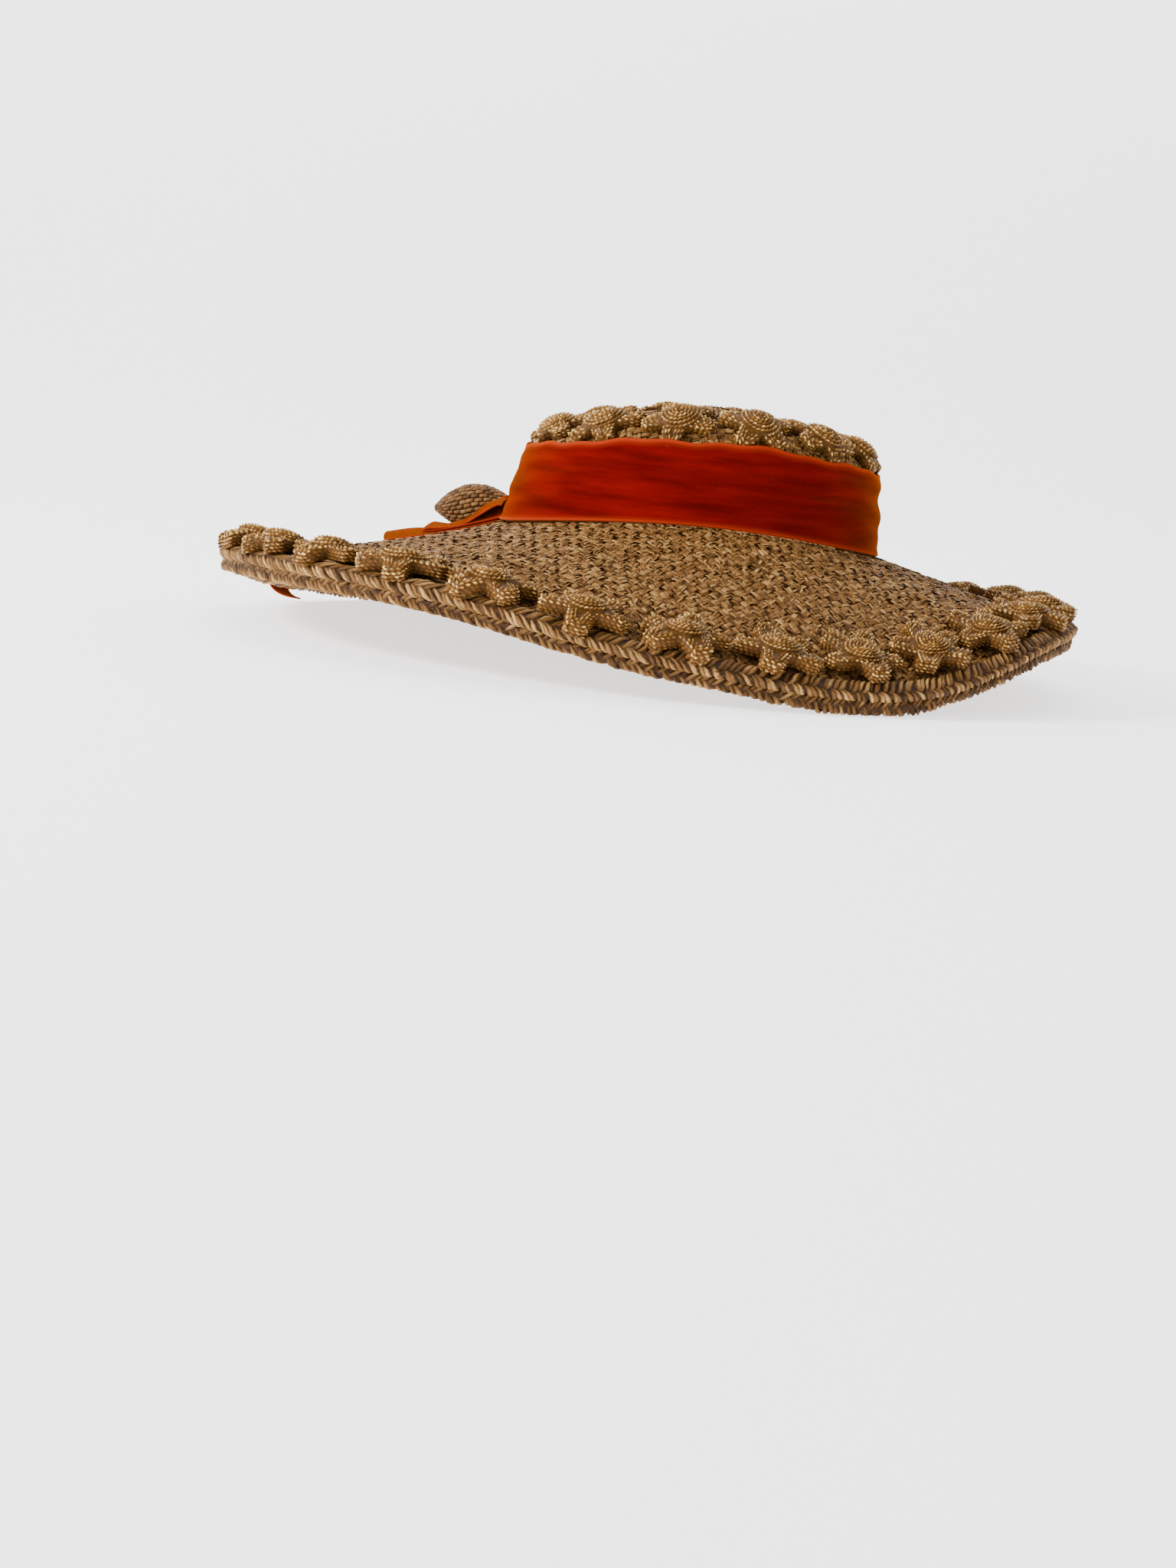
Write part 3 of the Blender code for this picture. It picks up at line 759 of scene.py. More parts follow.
# %% [markdown]
# ## The edge plaits
#
# Two thick plaits are sewn to the real brim's edge, one above its cloth and one below. A rope swept along a
# curve would slide over the droop of the brim, so a plait has its own track: a point is a length walked along
# it, a turn round its section, and a distance out from its core. The lower plait is pressed flat where the hat
# lies on the table.

# %% Track of a plait
GAP = 0.0004
PLAIT_HALF_WIDTH = 0.0055
PLAIT_HALF_HEIGHT = 0.0026
PLAIT_PRESS = 0.0019
CORE_INSET = 0.0009
CORE_DEEPER = 0.0021


def settled(height):
    """Heights of the lower plait: close to the table it is pressed down, and level from there on."""
    return np.where(height > 3 * PLAIT_PRESS, height, np.maximum(1.5 * (height - PLAIT_PRESS), 0.0))


def plait_track(side):
    """The plait's length, and a rule that places points on its section; side is 1 above the brim, -1 below."""
    away = GAP + PLAIT_HALF_HEIGHT if side > 0 else -(STRAW_BRIM + GAP + PLAIT_HALF_HEIGHT)
    fine = np.linspace(0.0, 360.0, 4001)

    def middle_frame(bearing):
        share = 1.0 - (PLAIT_HALF_WIDTH - SHEET_INSET) / brim_depth(bearing)
        point, out, _, normal = brim_frame(bearing, share)
        return point + normal * away, out, normal * side

    walked = walked_along(middle_frame(fine)[0])

    def place(at, around, raised):
        middle, out, up = middle_frame(np.interp(np.mod(at, walked[-1]), walked, fine))
        level, rise = np.cos(around), np.sin(around)
        half_width = PLAIT_HALF_WIDTH - CORE_INSET
        half_height = PLAIT_HALF_HEIGHT - CORE_INSET
        # Beyond the edge of the brim's cloth the two plaits meet
        deeper = np.where(rise < 0, CORE_DEEPER * np.clip(0.5 + 1.2 * level, 0.0, 1.0), 0.0)
        across = np.sign(level) * np.abs(level) ** 0.7 * half_width
        height = np.sign(rise) * np.abs(rise) ** 0.7 * (half_height + deeper)
        facing = unit(np.stack([level * half_height, rise * half_width], -1))
        across = across + facing[..., 0] * raised
        height = height + facing[..., 1] * raised
        points = middle + out * across[..., None] + up * height[..., None]
        if side < 0:
            points[..., 2] = settled(points[..., 2])
        points[..., 2] = np.maximum(points[..., 2], 0.0)
        return points

    return walked[-1], place


print("section of a plait:", 2 * PLAIT_HALF_WIDTH, "by", 2 * PLAIT_HALF_HEIGHT, "m")

# %% [markdown]
# ## Straws of a plait
#
# The real plait's straws run in turn from the middle of one face round its edge to the middle of the other.
# Whole straws could be woven over and under, but only the passes on top are ever seen. Each pass is a pair of
# arched straws, darkened towards their ends and edges as painted shade, over a dark core of painted shade, and
# where the passes of the two edges meet they make a row of V shapes.

# %% Straws of a plait
PLAIT_PERIOD = 0.0195
PASSES_IN_PERIOD = 3
# Where the middle of a pass lies on the section of the upper and of the lower plait
PLAIT_TURN = {1: math.radians(-36.0), -1: math.radians(-112.0)}
PASS_REACH = math.radians(104.0)
PASS_ADVANCE = 0.0056
# How much a step across a straw moves along the plait, and how many radians round it for each metre
PASS_ACROSS = (0.86, 100.0)
PASS_STATIONS = np.linspace(-1.0, 1.0, 9)
PASS_HEIGHTS = 0.00040 - 0.00115 * np.abs(PASS_STATIONS) ** 3
# Painted shade along a pass: darker towards its ends, where it dives under
PASS_PAINTED_SHADE = np.array([0.05, 0.62, 0.95, 1.05, 1.0, 1.05, 0.95, 0.62, 0.05])
STRAW_SIDES = np.linspace(-1.0, 1.0, 5)
STRAW_ARCH = np.array([-0.00075, 0.00010, 0.00030, 0.00010, -0.00075])
# Painted shade across a straw: dark at its edges, and a little lighter on one side than the other
STRAW_PAINTED_SHADE = np.array([0.15, 0.85, 1.08, 0.92, 0.15])
STRAW_APART = 0.00130
STRAW_HALF_WIDTH = 0.00150
STRAW_RAISED = 0.0004
CORE_RAISED = -0.0002
# The core's dark tone is painted shade between the straws
CORE_PAINTED_SHADE = 0.08
CORE_STEP = 0.004


def plait_passes(side, length, place):
    """The arched straws of a plait, as parts of a piece."""
    count = PASSES_IN_PERIOD * round(length / PLAIT_PERIOD)
    faces = patch_faces(count, len(PASS_STATIONS), len(STRAW_SIDES))
    station = PASS_STATIONS[:, None]
    parts = []
    for edge, start in ((1, 0.0), (-1, 0.5)):
        for beside in (-1.0, 1.0):
            shift = beside * STRAW_APART + scatter(0.00035, count)
            half_width = STRAW_HALF_WIDTH * rng.uniform(0.80, 1.15, (count, 1, 1))
            over = shift + half_width * STRAW_SIDES
            over = over * (1.0 - 0.35 * np.abs(station) ** 3)
            advance = PASS_ADVANCE * rng.uniform(0.75, 1.25, (count, 1, 1))
            at = (np.arange(count) + start)[:, None, None] * length / count
            at = at + advance * station + over * PASS_ACROSS[0]
            around = -PASS_REACH * station + over * PASS_ACROSS[1]
            around = edge * (around + scatter(0.13, count)) + PLAIT_TURN[side]
            if edge < 0:
                around = around + math.pi
            raised = STRAW_RAISED + PASS_HEIGHTS[:, None] + STRAW_ARCH
            raised = raised + scatter(0.00018, count)
            tones = own_tones(count, 0.56, 0.21, 0.12, 0.98, PASS_PAINTED_SHADE, STRAW_PAINTED_SHADE)
            parts.append((place(at, around, raised), faces[:, ::-side * edge], tones))
    return parts


print("points of one straw of a plait:", len(PASS_STATIONS) * len(STRAW_SIDES))

# %% [markdown]
# ## The two plaits
#
# A real plait is so tight that no light comes through it. More straws inside it would cost a great many faces
# for nothing, so a closed dark tube of painted shade lies a little below the straws.


# %% Edge plaits
def make_plait(name, node, side):
    length, place = plait_track(side)
    parts = plait_passes(side, length, place)
    # The last line of the core is its first once more
    angles = np.radians(np.append(np.arange(0, 360, 20), 0))
    at, around = np.meshgrid(np.arange(0.0, length, CORE_STEP), angles)
    core = place(at, around, np.full(at.shape, CORE_RAISED))
    parts.append((core, patch_faces(1, *at.shape, closed=True)[:, ::side], CORE_PAINTED_SHADE))
    return add_piece(name, parts, plait_straw, [node])


make_plait("upper_plait", "edge_plait_upper", 1)
make_plait("lower_plait", "edge_plait_lower", -1)

# %% [markdown]
# ## A flat star
#
# The real stars are domed coils of straw braid with five stubby arms. An outline could be drawn as a curve and
# given depth, but its rows of cord have to follow it, so the outline is a list of corners that can be moved
# inwards. A star is laid out flat first, with its foot at height 0.

# %% Star outline
BRIM_STAR = dict(tip=0.0215, arm=0.0045, valley=0.0116, dome=0.0112, wall=0.0070, rise=0.0046)
CROWN_STAR = dict(tip=0.0190, arm=0.0040, valley=0.0104, dome=0.0104, wall=0.0058, rise=0.0038)
ARMS = 5
STITCH = 0.0021
CORD = 0.0017
ROW_STEP = 0.0004
ROW_ROUNDS = 10


def star_outline(size):
    """The corners of a flat star, arm by arm: two at the arm's end and the valley after it."""
    corners = []
    spread = math.atan2(size["arm"], size["tip"])
    reach = math.hypot(size["arm"], size["tip"])
    for arm in range(ARMS):
        for radius, beside in ((reach, -spread), (reach, spread), (size["valley"], math.pi / ARMS)):
            turn = 2 * math.pi * arm / ARMS + beside
            corners.append((radius * math.cos(turn), radius * math.sin(turn)))
    return np.array(corners)


def inset_outline(corners, inset):
    """The corners moved in by a distance from both sides that meet there."""
    before = corners - np.roll(corners, 1, axis=0)
    after = np.roll(corners, -1, axis=0) - corners
    inward_before = unit(np.stack([-before[:, 1], before[:, 0]], -1))
    inward_after = unit(np.stack([-after[:, 1], after[:, 0]], -1))
    bisector = unit(inward_before + inward_after)
    share = np.maximum((bisector * inward_after).sum(-1, keepdims=True), 0.4)
    return corners + bisector * inset / share


def even_loop(corners, step, rounds):
    """The outline as points at even steps, with its corners rounded off."""
    closed = np.vstack([corners, corners[:1]])
    walked = walked_along(closed)
    at = np.arange(0.0, walked[-1] - step / 2, step)
    loop = np.stack([np.interp(at, walked, closed[:, k]) for k in (0, 1)], -1)
    for _ in range(rounds):
        loop = (np.roll(loop, 1, axis=0) + 2 * loop + np.roll(loop, -1, axis=0)) / 4
    return loop


def star_height(radius, size):
    return size["wall"] + size["rise"] * np.maximum(1 - (radius / size["dome"]) ** 2.4, 0.0) ** 0.75


def arm_row(corners, inset):
    """A row that follows the arms: its points, and the ways along it, inwards and up at each."""
    loop = even_loop(inset_outline(corners, inset), ROW_STEP, ROW_ROUNDS)
    way = unit(np.roll(loop, -1, axis=0) - np.roll(loop, 1, axis=0))
    level = np.zeros(len(loop))
    along = np.stack([way[:, 0], way[:, 1], level], -1)
    inward = np.stack([-way[:, 1], way[:, 0], level], -1)
    return loop, along, inward, np.broadcast_to([0.0, 0.0, 1.0], inward.shape)


print("corners of a star:", len(star_outline(BRIM_STAR)))

# %% [markdown]
# ## Stitches and core of a star
#
# A real star is a coil of stitched cord: a spiral over its dome, rows that follow its arms, and rows stacked up
# its sides. A bump would leave its edge smooth, so each stitch is worked out as a place, three directions and a
# painted shade. A dark core under the stitches, in painted shade, closes the gaps.

# %% Stitches and core
# How far in, how far down and how tilted the rows on the arms lie
ARM_ROWS = ((0.0008, 0.0006, 0.8), (0.0023, 0.0, 0.15), (0.0038, 0.0, 0.0))
# Rows up the sides: where the first one lies and how far below the top the last one stays, in cords
SIDE_ROWS = (0.55, 0.75)
CORE_BELOW = 0.0006
CORE_POINTS = 60
# The core's rings: share of the outline's reach, and share of the wall's height, or None for the top
CORE_RINGS = (
    (0.30, 0.0), (0.97, 0.0), (1.0, 0.5), (0.97, 1.0), (0.8, None), (0.55, None), (0.3, None), (0.02, None)
)


def row_stitches(loop, height, along, across, raised, shade):
    """Stitches at even steps along a row: places, the ways along, across and outwards, and painted shades."""
    line = np.concatenate([loop, np.full((len(loop), 1), height)], -1)
    walked = np.arange(len(loop)) * np.linalg.norm(loop[1] - loop[0])
    starts = np.arange(rng.uniform(0, STITCH), walked[-1] - STITCH / 3, STITCH)
    picks = np.searchsorted(walked, starts)
    return [table[picks] for table in (line, along, across, raised, shade)]


def coil_stitches(size):
    """The stitches of the spiral over the dome."""
    radius = [0.5 * CORD]
    angle = [0.0]
    while radius[-1] < size["dome"] - 0.2 * CORD:
        angle.append(angle[-1] + STITCH / radius[-1])
        radius.append(CORD * (0.5 + angle[-1] / (2 * math.pi)))
    radius, angle = np.array(radius), np.array(angle)
    outward = np.stack([np.cos(angle), np.sin(angle), np.zeros(len(angle))], -1)
    slope = (star_height(radius + 0.0003, size) - star_height(radius - 0.0003, size)) / 0.0006
    slope = np.maximum(slope, -1.6)
    across = unit(outward + np.array([0.0, 0.0, 1.0]) * slope[:, None])
    along = np.stack([-np.sin(angle), np.cos(angle), np.zeros(len(angle))], -1)
    middle = outward * radius[:, None]
    middle[:, 2] = star_height(radius, size)
    return [middle, along, across, np.cross(along, -across), np.full(len(middle), 1.0)]


def flat_star(size):
    """Every stitch of a flat star, and its solid core as a grid of rings."""
    rows = [coil_stitches(size)]
    corners = star_outline(size)
    for inset, lowered, tilt in ARM_ROWS:
        loop, along, inward, up = arm_row(corners, inset)
        # Painted shade: rows further in from the arm's outline are darker
        shade = np.full(len(loop), 1.22 - 80.0 * inset)
        height = size["wall"] - lowered
        found = row_stitches(loop, height, along, unit(inward + up * tilt), unit(up - inward * tilt), shade)
        outside = np.linalg.norm(found[0][:, :2], axis=1) > size["dome"] - 0.0003
        rows.append([table[outside] for table in found])
    for level in np.arange(SIDE_ROWS[0], size["wall"] / CORD - SIDE_ROWS[1], 1.0):
        height = level * CORD
        loop, along, inward, up = arm_row(corners, 0.0001 + 0.0007 * (height / size["wall"]) ** 2)
        # Painted shade: the sides are darkest in the valleys between the arms and at the foot, lighter towards the
        # arms' ends
        out = (np.linalg.norm(loop, axis=1) - size["valley"]) / (size["tip"] - size["valley"])
        shade = 0.50 + 1.00 * np.clip(out, 0.0, 1.0) ** 1.2
        shade = shade * (0.40 + 0.64 * height / size["wall"])
        rows.append(row_stitches(loop, height, along, up, -inward, shade))
    stitches = [np.concatenate([row[k] for row in rows]) for k in range(5)]
    loop = even_loop(inset_outline(corners, 0.0006), 0.0003, 8)
    angles = np.mod(np.arctan2(loop[:, 1], loop[:, 0]), 2 * math.pi)
    order = np.argsort(angles)
    ring_angles = 2 * math.pi * np.arange(CORE_POINTS) / CORE_POINTS
    reach = np.interp(ring_angles, angles[order], np.linalg.norm(loop, axis=1)[order], period=2 * math.pi)
    core = []
    for share, height in CORE_RINGS:
        ring = reach * share
        if height is None:
            heights = star_height(ring, size) - CORE_BELOW
        else:
            heights = np.full(CORE_POINTS, height * (size["wall"] - CORE_BELOW))
        core.append(np.stack([ring * np.cos(ring_angles), ring * np.sin(ring_angles), heights], -1))
    return stitches, np.array(core)


brim_star = flat_star(BRIM_STAR)
print("stitches of a brim star:", len(brim_star[0][0]))

# %% [markdown]
# ## Stars on the brim
#
# The real stars were sewn round the brim side by side, turned this way and that, and each bends with the straw
# beneath it. A copied star would stay flat, so every star is bent point by point: a rule takes distances along
# the row, outwards and up. It climbs over the upper plait with its outer arms, and their tips droop a little
# over the edge. Each stitch is a small slanted cushion of nine points.

# %% Stars on the brim
STAR_GAP = 0.0006
STITCH_ALONG = np.array([-1.0, 0.0, 1.0])[:, None] * np.array([0.78, 1.0, 0.78])
STITCH_ACROSS = np.array([-1.0, 0.0, 1.0]) * np.array([0.80, 1.0, 0.80])[:, None]
STITCH_HEIGHT = np.array([[-0.95, -0.40, -0.95], [-0.70, 0.75, -0.70], [-0.95, -0.40, -0.95]]) * 0.001
# Painted highlight in the middle of each stitch and painted shade at its corners
STITCH_HIGHLIGHT_AND_SHADE = np.array([[0.0, 0.70, 0.0], [0.30, 1.45, 0.30], [0.0, 0.70, 0.0]])
STITCH_SLANT = 0.45
STITCH_HALF = 0.53
# The star's core is dark as painted shade in the gaps between the stitches
STAR_CORE_PAINTED_SHADE = 0.16
BRIM_STAR_COUNT = 27
BRIM_STAR_PLACES = 28
BRIM_STAR_FIRST = 167.0
BRIM_STAR_TURN = 47.0
CLIMB_FROM = 0.0275
CLIMB_SLOPE = 0.36
CLIMB_HEIGHT = 0.0059
DROOP_FROM = 0.0030
DROOP_SLOPE = 0.5
DROOP_MOST = 0.0020


def add_star(name, node, star, turn, place):
    """A piece from the stitches and core of a flat star, turned and put in its place."""
    (middle, along, across, raised, shade), core = star
    count = len(middle)
    along_by = STITCH_ALONG * STITCH * STITCH_HALF + STITCH_ACROSS * CORD * STITCH_SLANT
    across_by = STITCH_ACROSS * CORD * STITCH_HALF
    size = rng.uniform(0.94, 1.06, (count, 1, 1, 1))
    height = STITCH_HEIGHT[..., None] * size + rng.normal(0, 0.00008, (count, 1, 1, 1))
    points = (
        middle[:, None, None]
        + along[:, None, None] * along_by[..., None] * size
        + across[:, None, None] * across_by[..., None]
        + raised[:, None, None] * height
    )
    own = np.clip(rng.normal(0.55, 0.12, count), 0.15, 0.98) * shade
    tones = own[:, None, None] * STITCH_HIGHLIGHT_AND_SHADE
    points, core = [place(*np.moveaxis(spun(cloud, turn), -1, 0)) for cloud in (points, core)]
    return add_piece(name, [
        (points, patch_faces(count, 3, 3), tones.ravel()),
        (core, patch_faces(1, *core.shape[:2], closed=True), STAR_CORE_PAINTED_SHADE),
    ], star_straw, [node])


def even_bearings(first, places, count, line):
    """Bearings at even steps along a closed line round the hat."""
    fine = first + np.arange(0.0, 360.25, 0.25)
    walked = walked_along(line(fine))
    return np.interp(np.arange(count) * walked[-1] / places, walked, fine)


def brim_star_line(bearing):
    """The line on which the stars keep even steps, as seen from above."""
    turn = np.radians(bearing)
    half_length = BRIM_LENGTH / 2 - CLIMB_FROM
    half_width = BRIM_WIDTH / 2 - CLIMB_FROM
    return np.stack([half_length * np.cos(turn), half_width * np.sin(turn)], -1)


star_bearings = even_bearings(BRIM_STAR_FIRST, BRIM_STAR_PLACES, BRIM_STAR_COUNT, brim_star_line)
for number, bearing in enumerate(star_bearings, 1):
    depth = brim_depth(bearing)
    inset = edge_value(bearing, "star_inset")
    share = 1.0 - (inset - SHEET_INSET) / depth
    step = np.linalg.norm(brim_top(bearing + 0.5, share) - brim_top(bearing - 0.5, share))

    def place_on_brim(along, outward, height):
        climb = np.clip(CLIMB_SLOPE * (CLIMB_FROM - inset + outward), 0.0, CLIMB_HEIGHT)
        droop = np.clip(DROOP_SLOPE * (outward - inset + DROOP_FROM), 0.0, DROOP_MOST)
        lift = STAR_GAP + climb - droop + height
        return over_brim(bearing + along / step, share + outward / depth, lift)

    turn = math.radians(BRIM_STAR_TURN * number)
    add_star(f"coil_star_{number:02d}", f"brim_star_{number:02d}", brim_star, turn, place_on_brim)

# %% [markdown]
# ## Stars on the crown
#
# A row of smaller stars lies on the real crown's shoulder, with its lower arms behind the band. Cutting the
# arms off would leave open edges, so the stars are whole: the lower arms follow the cloth down, grow thinner
# and are tucked behind the band.

# %% Stars on the crown
CROWN_STAR_COUNT = 12
CROWN_STAR_FIRST = 15.0
CROWN_STAR_ABOVE_BAND = 0.0132
CROWN_STAR_LEVEL = 5.6
CROWN_STAR_TURNS = (-90.0, -54.0)
TUCK = 0.84
TUCK_DEPTH = 0.0022
TUCK_THIN = 0.64
TUCK_SOFT = 0.002

crown_star = flat_star(CROWN_STAR)
shoulder = even_bearings(
    CROWN_STAR_FIRST, CROWN_STAR_COUNT, CROWN_STAR_COUNT,
    lambda bearing: crown_face(bearing, CROWN_STAR_LEVEL),
)
for number, bearing in enumerate(shoulder, 1):

    def place_on_crown(along, outward, height):
        down = np.where(outward > 0, outward * TUCK, outward)
        length = BAND_HEIGHT + CROWN_STAR_ABOVE_BAND - down
        level = crown_level(bearing, length)
        step = np.linalg.norm(crown_face(bearing + 0.5, level) - crown_face(bearing - 0.5, level), axis=-1)
        behind = np.clip((down - CROWN_STAR_ABOVE_BAND + TUCK_DEPTH) / TUCK_SOFT, 0.0, 1.0)
        return over_crown(bearing + along / step, level, STAR_GAP + height * (1 - TUCK_THIN * behind))

    turn = math.radians(CROWN_STAR_TURNS[number % 2])
    add_star(f"shoulder_star_{number:02d}", f"crown_star_{number:02d}", crown_star, turn, place_on_crown)

# %% [markdown]
# ## The velvet band
#
# The real band is a wide velvet ribbon pulled round the crown, with soft folds and a pale selvedge along both
# edges. A cloth simulation folds as it likes, while a sum of a few long waves gives folds that can be steered.
# The cloth has two faces and a thickness, and its upper edge stands off the most.

# %% Velvet band
CLOTH_THICKNESS = 0.0009
CLOTH_RAISED = 0.0006
# Share of the band's height, and how far the cloth stands off the crown
BAND_ROWS = np.array((
    (0.0, 0.0026), (0.18, 0.0018), (0.42, 0.0027), (0.70, 0.0024), (0.90, 0.0026), (1.0, 0.0043)
))
# Height, waves round the hat and start of the waves of the band's edge
EDGE_WAVES = ((0.0006, 9, 1.0), (0.0004, 23, 0.0))
BAND_RADIUS = 0.092
FOLD_SEED = 3
FOLD_WAVES = 9
FOLD_DEPTH = 0.00055
FOLD_LENGTHS = (0.06, 0.40)
FOLD_WIDTHS = (0.007, 0.022)
CALM_EDGE = 0.12
# Shares across a ribbon, and how much of the pale selvedge shows at each
ACROSS = np.array([
    0.0, 0.02, 0.045, 0.08, 0.14, 0.22, 0.31, 0.4, 0.5, 0.6, 0.69, 0.78, 0.86, 0.92, 0.955, 0.98, 1.0
])
SELVEDGE = np.array([0.8, 0.75, 0.25] + [0.0] * 11 + [0.25, 0.75, 0.8])


def cloth(name, node, middle, tone, raised, closed=False):
    """A cloth with two faces from a grid of points; raised is how far its middle lies over them."""
    rows, columns = middle.shape[:2]
    down_rows = np.gradient(middle, axis=0)
    if closed:
        over_columns = (np.roll(middle, -1, axis=1) - np.roll(middle, 1, axis=1)) / 2
    else:
        over_columns = np.gradient(middle, axis=1)
    normal = unit(np.cross(over_columns, down_rows))
    layers = np.stack([
        middle + normal * (raised + CLOTH_THICKNESS / 2),
        middle + normal * (raised - CLOTH_THICKNESS / 2),
    ])
    first = patch_faces(1, rows, columns, closed)[:, ::-1]
    layer = rows * columns
    index = np.arange(layer).reshape(rows, columns)
    if closed:
        loops = [index[0], index[-1, ::-1]]
    else:
        loops = [np.concatenate([index[0, :-1], index[:-1, -1], index[-1, :0:-1], index[:0:-1, 0]])]
    faces = [first, first[:, ::-1] + layer]
    for loop in loops:
        after = np.roll(loop, -1)
        faces.append(np.stack([after, loop, loop + layer, after + layer], -1))
    tones = np.broadcast_to(tone, layers.shape[:-1])
    return add_piece(name, [(layers, np.concatenate(faces), tones.ravel())], velvet, [node])


def soft_folds(along, across):
    """A sum of waves that run mostly along the band. Both places are in metres."""
    waves = np.random.default_rng(FOLD_SEED)
    total = np.zeros(along.shape)
    for _ in range(FOLD_WAVES):
        way = 2 * math.pi / waves.uniform(*FOLD_LENGTHS)
        over = 2 * math.pi / waves.uniform(*FOLD_WIDTHS) * waves.choice([-1, 1])
        total = total + np.sin(way * along + over * across + waves.uniform(0, 2 * math.pi))
    return total / math.sqrt(FOLD_WAVES)


band_bearings = np.arange(0.0, 360.0, 1.0)
band_shares = np.concatenate([ACROSS[:4], np.linspace(0.11, 0.89, 22), ACROSS[-4:]])
band_tone = np.interp(band_shares, ACROSS, SELVEDGE)
bearing, share = np.meshgrid(band_bearings, band_shares)
turn = np.radians(bearing)
edge_wave = sum(height * np.sin(turn * times + start) for height, times, start in EDGE_WAVES)
level = crown_level(bearing, np.maximum(BAND_HEIGHT * share + edge_wave * share, 0.0))
point, _, _, normal = crown_frame(bearing, np.maximum(level, 0.05))
point = crown_face(bearing, level)
stand_off = np.interp(share, BAND_ROWS[:, 0], BAND_ROWS[:, 1])
fold = soft_folds(turn * BAND_RADIUS, share * BAND_HEIGHT)
calm = np.minimum(share, 1 - share).clip(0, CALM_EDGE) / CALM_EDGE
# The cloth's grid runs up and round, which turns its faces outwards
band_middle = point + normal * (stand_off + FOLD_DEPTH * fold * calm)[..., None]
band = cloth("band", "velvet_band", band_middle, band_tone[:, None], -CLOTH_RAISED, closed=True)

# %% [markdown]
# ## The bow and the tail
#
# The real bow is a stiff loop on a short end, and the long tail crosses the brim and hangs a little past its
# edge. Such plain folds are quicker to write down than to simulate. A row of a table gives how far out from the
# head line the ribbon is, its bearing, its width, and how high its near and its far edge lie over the brim.

# %% Bow and tail
BOW_END_ROWS = np.array((
    (0.0026, 168.8, 0.026, 0.0003, 0.0003),
    (0.0250, 170.0, 0.028, 0.0003, 0.0012),
    (0.0410, 171.3, 0.032, 0.0003, 0.0040),
    (0.0530, 172.0, 0.034, 0.0003, 0.0062),
    (0.0645, 172.7, 0.034, 0.0005, 0.0064),
))
BOW_LOOP_ROWS = np.array((
    (-0.0020, 167.8, 0.028, 0.0018, 0.0124),
    (0.0070, 168.2, 0.028, 0.0018, 0.0104),
    (0.0200, 169.0, 0.030, 0.0018, 0.0060),
    (0.0370, 170.0, 0.031, 0.0018, 0.0050),
    (0.0438, 170.3, 0.031, 0.0028, 0.0076),
    (0.0415, 170.2, 0.031, 0.0046, 0.0086),
    (0.0320, 169.6, 0.031, 0.0036, 0.0056),
    (0.0225, 169.0, 0.030, 0.0032, 0.0072),
    (0.0120, 168.5, 0.029, 0.0066, 0.0118),
    (0.0040, 168.0, 0.028, 0.0092, 0.0122),
    (-0.0030, 167.6, 0.028, 0.0100, 0.0126),
))
TAIL_ROWS = np.array((
    (-0.0012, 139.2, 0.034, 0.0009, 0.0009),
    (0.0350, 143.0, 0.036, 0.0009, 0.0009),
    (0.0700, 147.0, 0.034, 0.0011, 0.0010),
    (0.1000, 150.0, 0.031, 0.0013, 0.0013),
))
# How far past the edge of the brim's sheet, bearing, width and lift
TAIL_END_ROWS = np.array((
    (-0.0230, 150.8, 0.029, 0.0013),
    (-0.0120, 151.6, 0.027, 0.0068),
    (-0.0015, 152.3, 0.025, 0.0070),
    (0.0014, 152.6, 0.022, 0.0044),
    (0.0028, 152.8, 0.021, -0.0010),
    (0.0026, 152.8, 0.018, -0.0062),
    (0.0000, 152.0, 0.013, -0.0102),
    (-0.0033, 150.4, 0.004, -0.0122),
))
SKEW_POWER = 4
JOINT_SHARES = (0.33, 0.67)


def smooth_rows(table, steps):
    """Rows between a table's rows, on a smooth curve through them."""
    place = np.linspace(0.0, len(table) - 1, (len(table) - 1) * steps + 1)
    row = np.minimum(place.astype(int), len(table) - 2)
    picks = [table[np.clip(row + k, 0, len(table) - 1)] for k in (-1, 0, 1, 2)]
    return through(*picks, (place - row)[:, None])


def out_on_brim(bearing, out, lift):
    """Points over the brim at lengths out from the head line."""
    return over_brim(bearing, out / brim_depth(bearing), lift)


def ribbon_sections(rows, share, skew):
    """Points across a ribbon at each row; skew is how much further out its far corner reaches at the end."""
    out, bearing, width, near_lift, far_lift = [column[:, None] for column in rows.T]
    out = out + skew * share * (out / out.max()) ** SKEW_POWER
    half_turn = np.degrees(width / 2 / (HEAD_HALF_LENGTH + out))
    lift = near_lift + (far_lift - near_lift) * share
    return out_on_brim(bearing + half_turn * (1 - 2 * share), out, lift)


def ribbon(name, node, table, steps, end_table=None, skew=0.0):
    """A ribbon that lies on the brim; an end table carries it on over the brim's edge."""
    sections = ribbon_sections(smooth_rows(table, steps), ACROSS, skew)
    if end_table is not None:
        past, bearing, width, lift = [column[:, None] for column in smooth_rows(end_table, steps).T]
        half_turn = np.degrees(width / 2 / (BRIM_LENGTH / 2))
        place = bearing + half_turn * (1 - 2 * ACROSS)
        tail_end = out_on_brim(place, brim_depth(place) + SHEET_INSET + past, lift)
        between = [sections[-1] + (tail_end[0] - sections[-1]) * share for share in JOINT_SHARES]
        sections = np.concatenate([sections, np.array(between), tail_end])
    return cloth(name, node, sections, SELVEDGE, CLOTH_RAISED)


bow_end = ribbon("bow_end_cloth", "bow_end", BOW_END_ROWS, 6, skew=0.0034)
bow_loop = ribbon("bow_loop_cloth", "bow_loop", BOW_LOOP_ROWS, 6)
tail = ribbon("tail_cloth", "ribbon_tail", TAIL_ROWS, 8, TAIL_END_ROWS)

